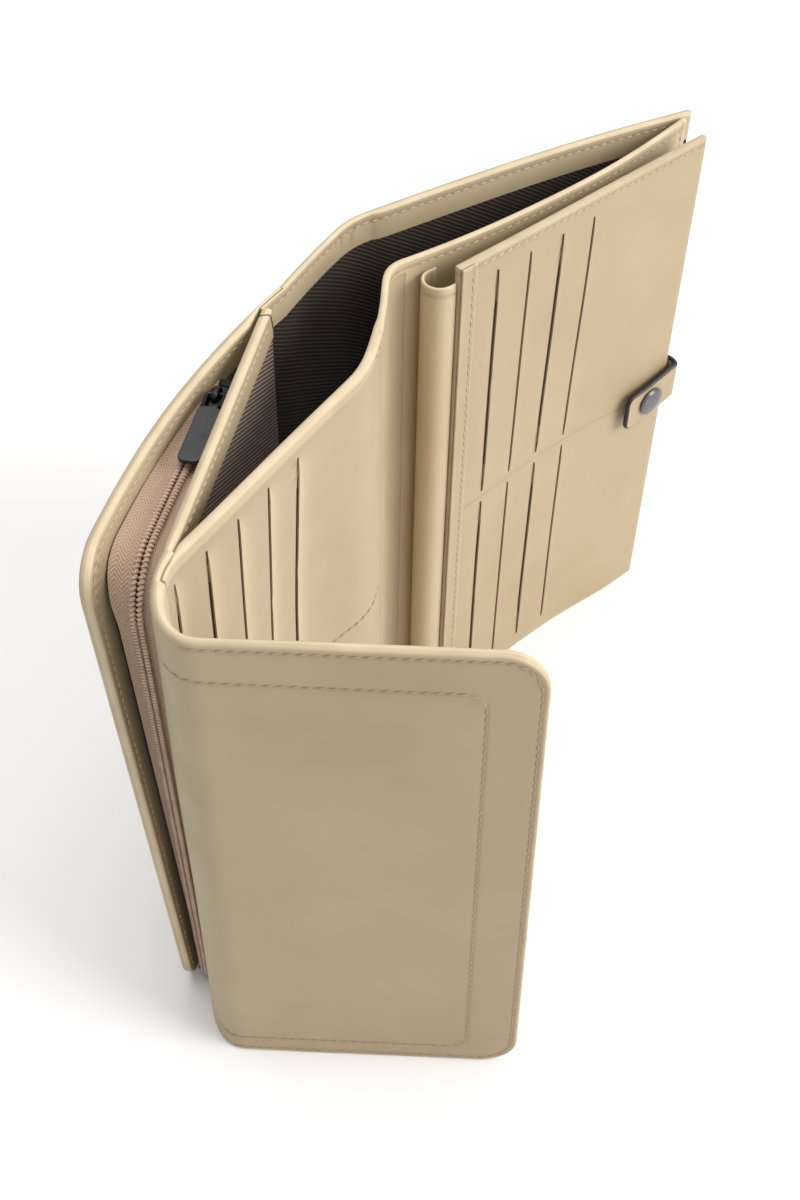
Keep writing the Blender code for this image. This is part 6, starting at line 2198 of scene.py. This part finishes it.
@dataclass
class Slider:
    """The zip's slider with its bail and pull tab.

    Attributes:
        plan: The wallet's plan.
        zip: The zip that it runs on.
        bridge: Length, height, width and wall of the bridge.
        web_width: Of the web between the plates.
        bail_wire: Radius of the bail's wire.
        bail_width: Of the bail.
        bail_length: Of the bail.
        tab: Length, width, thickness and corner radius of the pull tab.
    """

    plan: Plan
    zip: Zip
    bridge: tuple[float, float, float, float] = (0.0052, 0.0026, 0.0016, 0.0009)
    web_width: float = 0.0009
    bail_wire: float = 0.0006
    bail_width: float = 0.0044
    bail_length: float = 0.0052
    tab: tuple[float, float, float, float] = (0.0200, 0.0058, 0.0013, 0.0016)

    def axes(self, heading: float) -> tuple[Array, Array, Array]:
        """Run, side and upward directions at a heading."""
        run, side = heading_vector(heading), heading_vector(heading + 90)
        return np.array([*run, 0.0]), np.array([*side, 0.0]), np.array([0.0, 0.0, 1.0])

    def build(self) -> None:
        """Body, bridge, bail and tab."""
        plan, zip_line = self.plan, self.zip
        free = plan.zip_length - zip_line.free_inset - zip_line.corner
        level_at = HEIGHT - zip_line.top_inset
        near, far = (zip_line.walls(np.array(mark), level_at)[2] for mark in (zip_line.start, free))
        heading = math.degrees(math.atan2(*(far - near)[::-1]))
        centre = at_height(zip_line.walls(np.array(zip_line.slider_at), level_at)[2], level_at)
        axes = self.axes(heading)
        level_up = zip_line.tape + 2 * CLEARANCE + zip_line.chain
        half, wide = zip_line.slider_length / 2, zip_line.slider_width / 2
        turn = np.linspace(-np.pi / 2, np.pi / 2, 14)
        nose = np.stack([half - 0.55 * wide + 0.55 * wide * np.cos(turn), 0.86 * wide * np.sin(turn)], axis=1)
        side = np.array([[0.1, 1.0], [-0.55, 1.0], [-0.9, 0.8], [-1.0, 0.45]]) * [half, wide]
        outline = np.vstack([nose, side, side[::-1] * [1, -1]])
        top = plate("Slider_Top", outline, centre + axes[2] * level_up, axes, zip_line.slider_plate,
                    Finish.GUNMETAL, 0.0003, 0.0002)
        mounted(top, "slider", ("slider_body",))
        under = plate("Slider_Base", outline, centre - axes[2] * (CLEARANCE + zip_line.slider_plate), axes,
                      zip_line.slider_plate, Finish.GUNMETAL, 0.0003)
        mounted(under, "slider")
        square = np.array([[0.5, 0.5], [-0.5, 0.5], [-0.5, -0.5], [0.5, -0.5]])
        web_at = centre - axes[0] * (half - zip_line.web_length / 2) - axes[2] * 0.0004
        post = plate("Slider_Web", square * [zip_line.web_length - 0.0003, self.web_width], web_at, axes,
                     level_up + 0.0008, Finish.GUNMETAL, 0.00012)
        mounted(post, "slider")
        self.build_bridge(centre + axes[2] * (level_up + zip_line.slider_plate + 0.0001), axes)
        window = self.bridge[1] - self.bridge[3]
        bar = centre + axes[2] * (level_up + zip_line.slider_plate + 0.0001 + window / 2)
        self.build_pull(bar)

    def build_bridge(self, base: Array, axes: tuple[Array, Array, Array]) -> None:
        """Arched bridge that holds the bail."""
        length, height, width, wall = self.bridge
        turn = np.linspace(0.0, np.pi, 24)
        reach, rise = (length - wall) / 2, height - wall / 2
        line = base + np.cos(turn)[:, None] * reach * axes[0] + np.sin(turn)[:, None] ** 0.6 * rise * axes[2]
        arch = tube("Slider_Bridge", line, axes[1], wall / 2, 12, Finish.GUNMETAL, flat=width / wall)
        mounted(arch, "slider", ("slider_bridge",))

    def build_pull(self, bar: Array) -> None:
        """Bail of round wire and the flat tab that hangs on it.

        Args:
            bar: Place of the bail's bar, in the bridge.
        """
        axes = self.axes(self.plan.divider_heading + 180)
        half, wire = self.bail_width / 2, self.bail_wire
        turn = np.linspace(np.pi / 2, 3 * np.pi / 2, 17)
        round_bar = np.stack([wire * 1.6 + wire * 1.6 * np.cos(turn), half * np.sin(turn)], axis=1)
        legs = np.linspace(0.0, 1.0, 6)[1:, None]
        first, last = (np.array([self.bail_length + 0.0006, side]) for side in (half, -half))
        route = np.vstack([first + (round_bar[0] - first) * legs, round_bar[1:-1],
                           round_bar[-1] + (last - round_bar[-1]) * legs])
        line = bar + route[:, :1] * axes[0] + route[:, 1:] * axes[1]
        bail = tube("Pull_Bail", line, axes[2], wire, 12, Finish.GUNMETAL)
        mounted(bail, "pull", ("pull_bail",))
        length, width, thick, corner = self.tab
        near = self.bail_length + CLEARANCE
        turn = np.linspace(0.0, np.pi / 2, 8)
        middle = np.array([near + length / 2, 0.0])
        round_corner = np.stack([length / 2 - corner + corner * np.sin(turn),
                                 width / 2 - corner + corner * np.cos(turn)], axis=1)
        first_half = np.vstack([(round_corner * [-1, 1])[::-1], round_corner])
        outline = np.vstack([first_half, first_half[::-1] * [1, -1]]) + middle
        tab = plate("Pull_Tab", outline, bar - axes[2] * thick / 2, axes, thick, Finish.CHARCOAL, 0.00035)
        mounted(tab, "pull", ("pull_tab",))


# Floors and studio

# Width at which a floor is drawn before it is laid between its walls
FLOOR_DRAWN = 0.020


@dataclass
class Floors:
    """Cloth floors of the bill compartment and of the zip pocket.

    Attributes:
        plan: The wallet's plan.
        height: Where both lie.
        thickness: Of the cloth.
        margin: Left free beside each wall.
        starts: Where the floor starts along the divider, the spine and the card panel.
        short_of: How far it stops before the spine's far end and the document panel's.
        zip_run: Where the zip pocket's floor starts, and how far before the panel's end it stops.
    """

    plan: Plan
    height: float = 0.0015
    thickness: float = 0.0007
    margin: float = 0.0003
    starts: tuple[float, float, float] = (0.030, 0.020, 0.029)
    short_of: tuple[float, float] = (0.018, 0.017)
    zip_run: tuple[float, float] = (0.034, 0.006)

    def build(self) -> None:
        """Both floors, each a strip between the two walls of its pocket."""
        plan, margin, past = self.plan, self.margin, 0.003
        divider_from, cover_from, card_from = self.starts
        cover_short, document_short = self.short_of
        divider = plan.divider.at(np.linspace(plan.divider_length - 0.0006, divider_from, 24)[::-1],
                                  plan.divider_layers[0][0] - margin)
        cover = plan.cover.at(np.linspace(cover_from, plan.cover.length - cover_short, 80),
                              -(plan.cover_depth + margin))
        card = plan.card.at(np.linspace(card_from, plan.card.length - past, 30),
                            plan.card_layers[2][1] + margin)
        behind_face = plan.document_layers[1][1] + margin
        corner = plan.corner.at(np.linspace(past, plan.corner.length - past, 8), behind_face)
        document = plan.document.at(np.linspace(past, plan.document_length - document_short, 42), behind_face)
        self.strip("Compartment_Floor", np.vstack([divider[1:], cover]), np.vstack([card, corner, document]),
                   "compartment_floor", bends=True)
        marks = np.linspace(self.zip_run[0], plan.zip_length - self.zip_run[1], 60)
        outer, inner = plan.pocket(marks, self.height)
        way = (inner - outer) / np.linalg.norm(inner - outer, axis=1, keepdims=True) * margin
        self.strip("Zip_Floor", outer + way, inner - way, "zip_pocket_floor")

    def strip(self, name: str, first: Array, second: Array, node: str, bends: bool = False) -> None:
        """One floor: across coordinate 0 lies on the first line and FLOOR_DRAWN on the second.

        Args:
            name: The piece's name.
            first: Places in plan along one wall.
            second: Places along the other, run the same way.
            node: The solid that it stands for.
            bends: Whether it stays where it is drawn, on no body; else it rides the middle.
        """
        lines = [Track.through(line) for line in (first, second)]

        def place(along: Array, across: Array, rise: Array) -> Array:
            """Place at a share of the way from the first line to the second."""
            ends = [line.at(np.clip(along, 0.0, 1.0) * line.length) for line in lines]
            share = (np.broadcast_to(across, ends[0].shape[:-1]) / FLOOR_DRAWN)[..., None]
            return raised(ends[0] * (1.0 - share) + ends[1] * share, rise)

        # The floors take the dark copy of the twill, as painted shade
        piece = Panel(name, place, (0.0, 1.0), flat_level(self.height),
                      flat_level(self.height + self.thickness), Finish.FLAT_TWILL, heights=(0.0, FLOOR_DRAWN),
                      step=FLOOR_DRAWN, rows=np.arange(0.002, FLOOR_DRAWN, 0.002)).build()
        if bends:
            bent(piece, self.plan.floor_bend(), (node,))
        else:
            mounted(piece, "middle", (node,))
        length = max(line.length for line in lines)


@dataclass(frozen=True)
class Lamp:
    """Square soft lamp that looks at the wallet."""

    name: str
    place: tuple[float, float, float]
    size: float
    power: float
    colour: tuple[float, float, float]
    target: tuple[float, float, float] = (0.0, 0.0, 0.08)

    def build(self) -> None:
        """Adds the lamp to the scene."""
        data = bpy.data.lights.new(self.name, "AREA")
        data.size, data.energy, data.color = self.size, self.power, self.colour
        lamp = bpy.data.objects.new(self.name, data)
        lamp.location = self.place
        lamp.rotation_euler = (Vector(self.target) - Vector(self.place)).to_track_quat("-Z", "Y").to_euler()
        bpy.context.scene.collection.objects.link(lamp)


@dataclass
class Studio:
    """Pale floor, soft lamps and the camera at the photo's angle.

    Attributes:
        plan: The wallet's plan.
        camera_from_plan: Place of the camera in plan, from the wallet's own.
        camera_height: Above the floor.
        tilt: Of the camera, down from level, in degrees.
        roll: Of the camera, in degrees.
        lens: Its focal length in millimetres.
        lamps: The lamps.
        fill: Strength of the world's light on the wallet.
    """

    plan: Plan
    camera_from_plan: tuple[float, float] = (0.000004, -0.229602)
    camera_height: float = 0.4484
    tilt: float = 48.18
    roll: float = 1.2
    lens: float = 47.4
    lamps: tuple[Lamp, ...] = (Lamp("Key", (1.65, -0.50, 1.05), 1.2, 36.0, (1.0, 0.99, 0.97)),
                               Lamp("Over", (-0.05, 0.15, 1.8), 1.6, 22.0, (1.0, 1.0, 1.0)))
    fill: float = 0.42

    def build(self) -> None:
        """Camera, floor, lamps and world."""
        scene = bpy.context.scene
        scene.view_settings.view_transform = "Standard"
        down, turn = math.radians(self.tilt), math.radians(self.roll)
        forward = Vector((0.0, math.cos(down), -math.sin(down)))
        up = Vector((0.0, math.sin(down), math.cos(down)))
        right = Vector((1.0, 0.0, 0.0))
        rolled_right = right * math.cos(turn) + up * math.sin(turn)
        rolled_up = up * math.cos(turn) - right * math.sin(turn)
        data = bpy.data.cameras.new("Camera")
        data.lens = self.lens
        data.clip_start = 0.01
        camera = bpy.data.objects.new("Camera", data)
        camera.matrix_world = Matrix((rolled_right, rolled_up, -forward)).transposed().to_4x4()
        camera.location = (*(self.plan.shift + np.array(self.camera_from_plan)), self.camera_height)
        scene.collection.objects.link(camera)
        scene.camera = camera
        self.build_floor()
        for lamp in self.lamps:
            lamp.build()
        self.build_world()

    def build_world(self) -> None:
        """White world, at full strength where it is seen or mirrored, and a soft fill elsewhere."""
        world = bpy.data.worlds.new("World")
        bpy.context.scene.world = world
        world.use_nodes = True
        tree = world.node_tree
        background = tree.nodes["Background"]
        background.inputs["Color"].default_value = (1.0, 1.0, 1.0, 1.0)
        path = tree.nodes.new("ShaderNodeLightPath")
        seen = path.outputs["Is Camera Ray"]
        for ray in ("Is Glossy Ray", "Is Transmission Ray"):
            either = tree.nodes.new("ShaderNodeMath")
            either.operation = "MAXIMUM"
            tree.links.new(seen, either.inputs[0])
            tree.links.new(path.outputs[ray], either.inputs[1])
            seen = either.outputs[0]
        strength = tree.nodes.new("ShaderNodeMapRange")
        strength.inputs["To Min"].default_value = self.fill
        strength.inputs["To Max"].default_value = 1.0
        tree.links.new(seen, strength.inputs["Value"])
        tree.links.new(strength.outputs["Result"], background.inputs["Strength"])

    def build_floor(self) -> None:
        """Wide pale floor, curved up far behind, with a faint mottle."""
        sheet = NodeSheet("studio_floor")
        cloud = sheet.noise(3.0, 3.0)
        colour = sheet.mix(sheet.span(cloud, 0.0, 1.0, 0.3, 0.7), (0.96, 0.96, 0.962), (0.94, 0.94, 0.942))
        sheet.set(Base_Color=colour, Roughness=0.75, Specular_IOR_Level=0.15)
        turn = np.linspace(0.1, np.pi / 2, 12)
        run = np.concatenate([np.linspace(-3.0, 1.5, 10), 1.5 + np.sin(turn)])
        rise = np.concatenate([np.zeros(10), 1.0 - np.cos(turn)])
        x, y = np.meshgrid(np.linspace(-3.0, 3.0, 9), run, indexing="ij")
        z = np.broadcast_to(rise, x.shape) - 0.0001
        faces = grid_faces(np.arange(x.size).reshape(x.shape))
        mesh = bpy.data.meshes.new("Floor")
        mesh.from_pydata(np.stack([x, y, z], axis=-1).reshape(-1, 3).tolist(), [], faces.tolist())
        mesh.materials.append(sheet.material)
        mesh.polygons.foreach_set("use_smooth", np.ones(len(mesh.polygons), bool))
        floor = bpy.data.objects.new("Floor", mesh)
        bpy.context.scene.collection.objects.link(floor)
        floor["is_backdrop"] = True


def finish_small_solids() -> None:
    """Gives the few solids that stay in view a finish of their own."""
    finishes = {"snap_socket": Finish.NICKEL, "snap_stud": Finish.NICKEL, "zip_top_stop": Finish.GUNMETAL}
    for node, finish in finishes.items():
        for slot in frame["nodes"][node].material_slots:
            slot.material = finish.material()


def main() -> None:
    """Builds every part of the wallet in order."""
    logging.basicConfig(level=logging.INFO, format="%(name)s %(message)s")
    plan = Plan()
    zip_line = Zip(plan)
    for part in (ZipPanel(plan), Cover(plan), FrontWrap(plan), CardPanel(plan), DocumentPanel(plan),
                 Leaf(plan), Strap(plan), zip_line, Slider(plan, zip_line), Floors(plan), Studio(plan)):
        LOG.info("building %s", type(part).__name__)
        part.build()
    finish_small_solids()
    {"before": plain(CAD_BOX), "after": plain(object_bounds())}


def plain(box: Sequence[Sequence[float]]) -> list[list[float]]:
    """A box's two corners as plain lists."""
    return [[float(value) for value in corner] for corner in box]


if __name__ == "__main__":
    main()
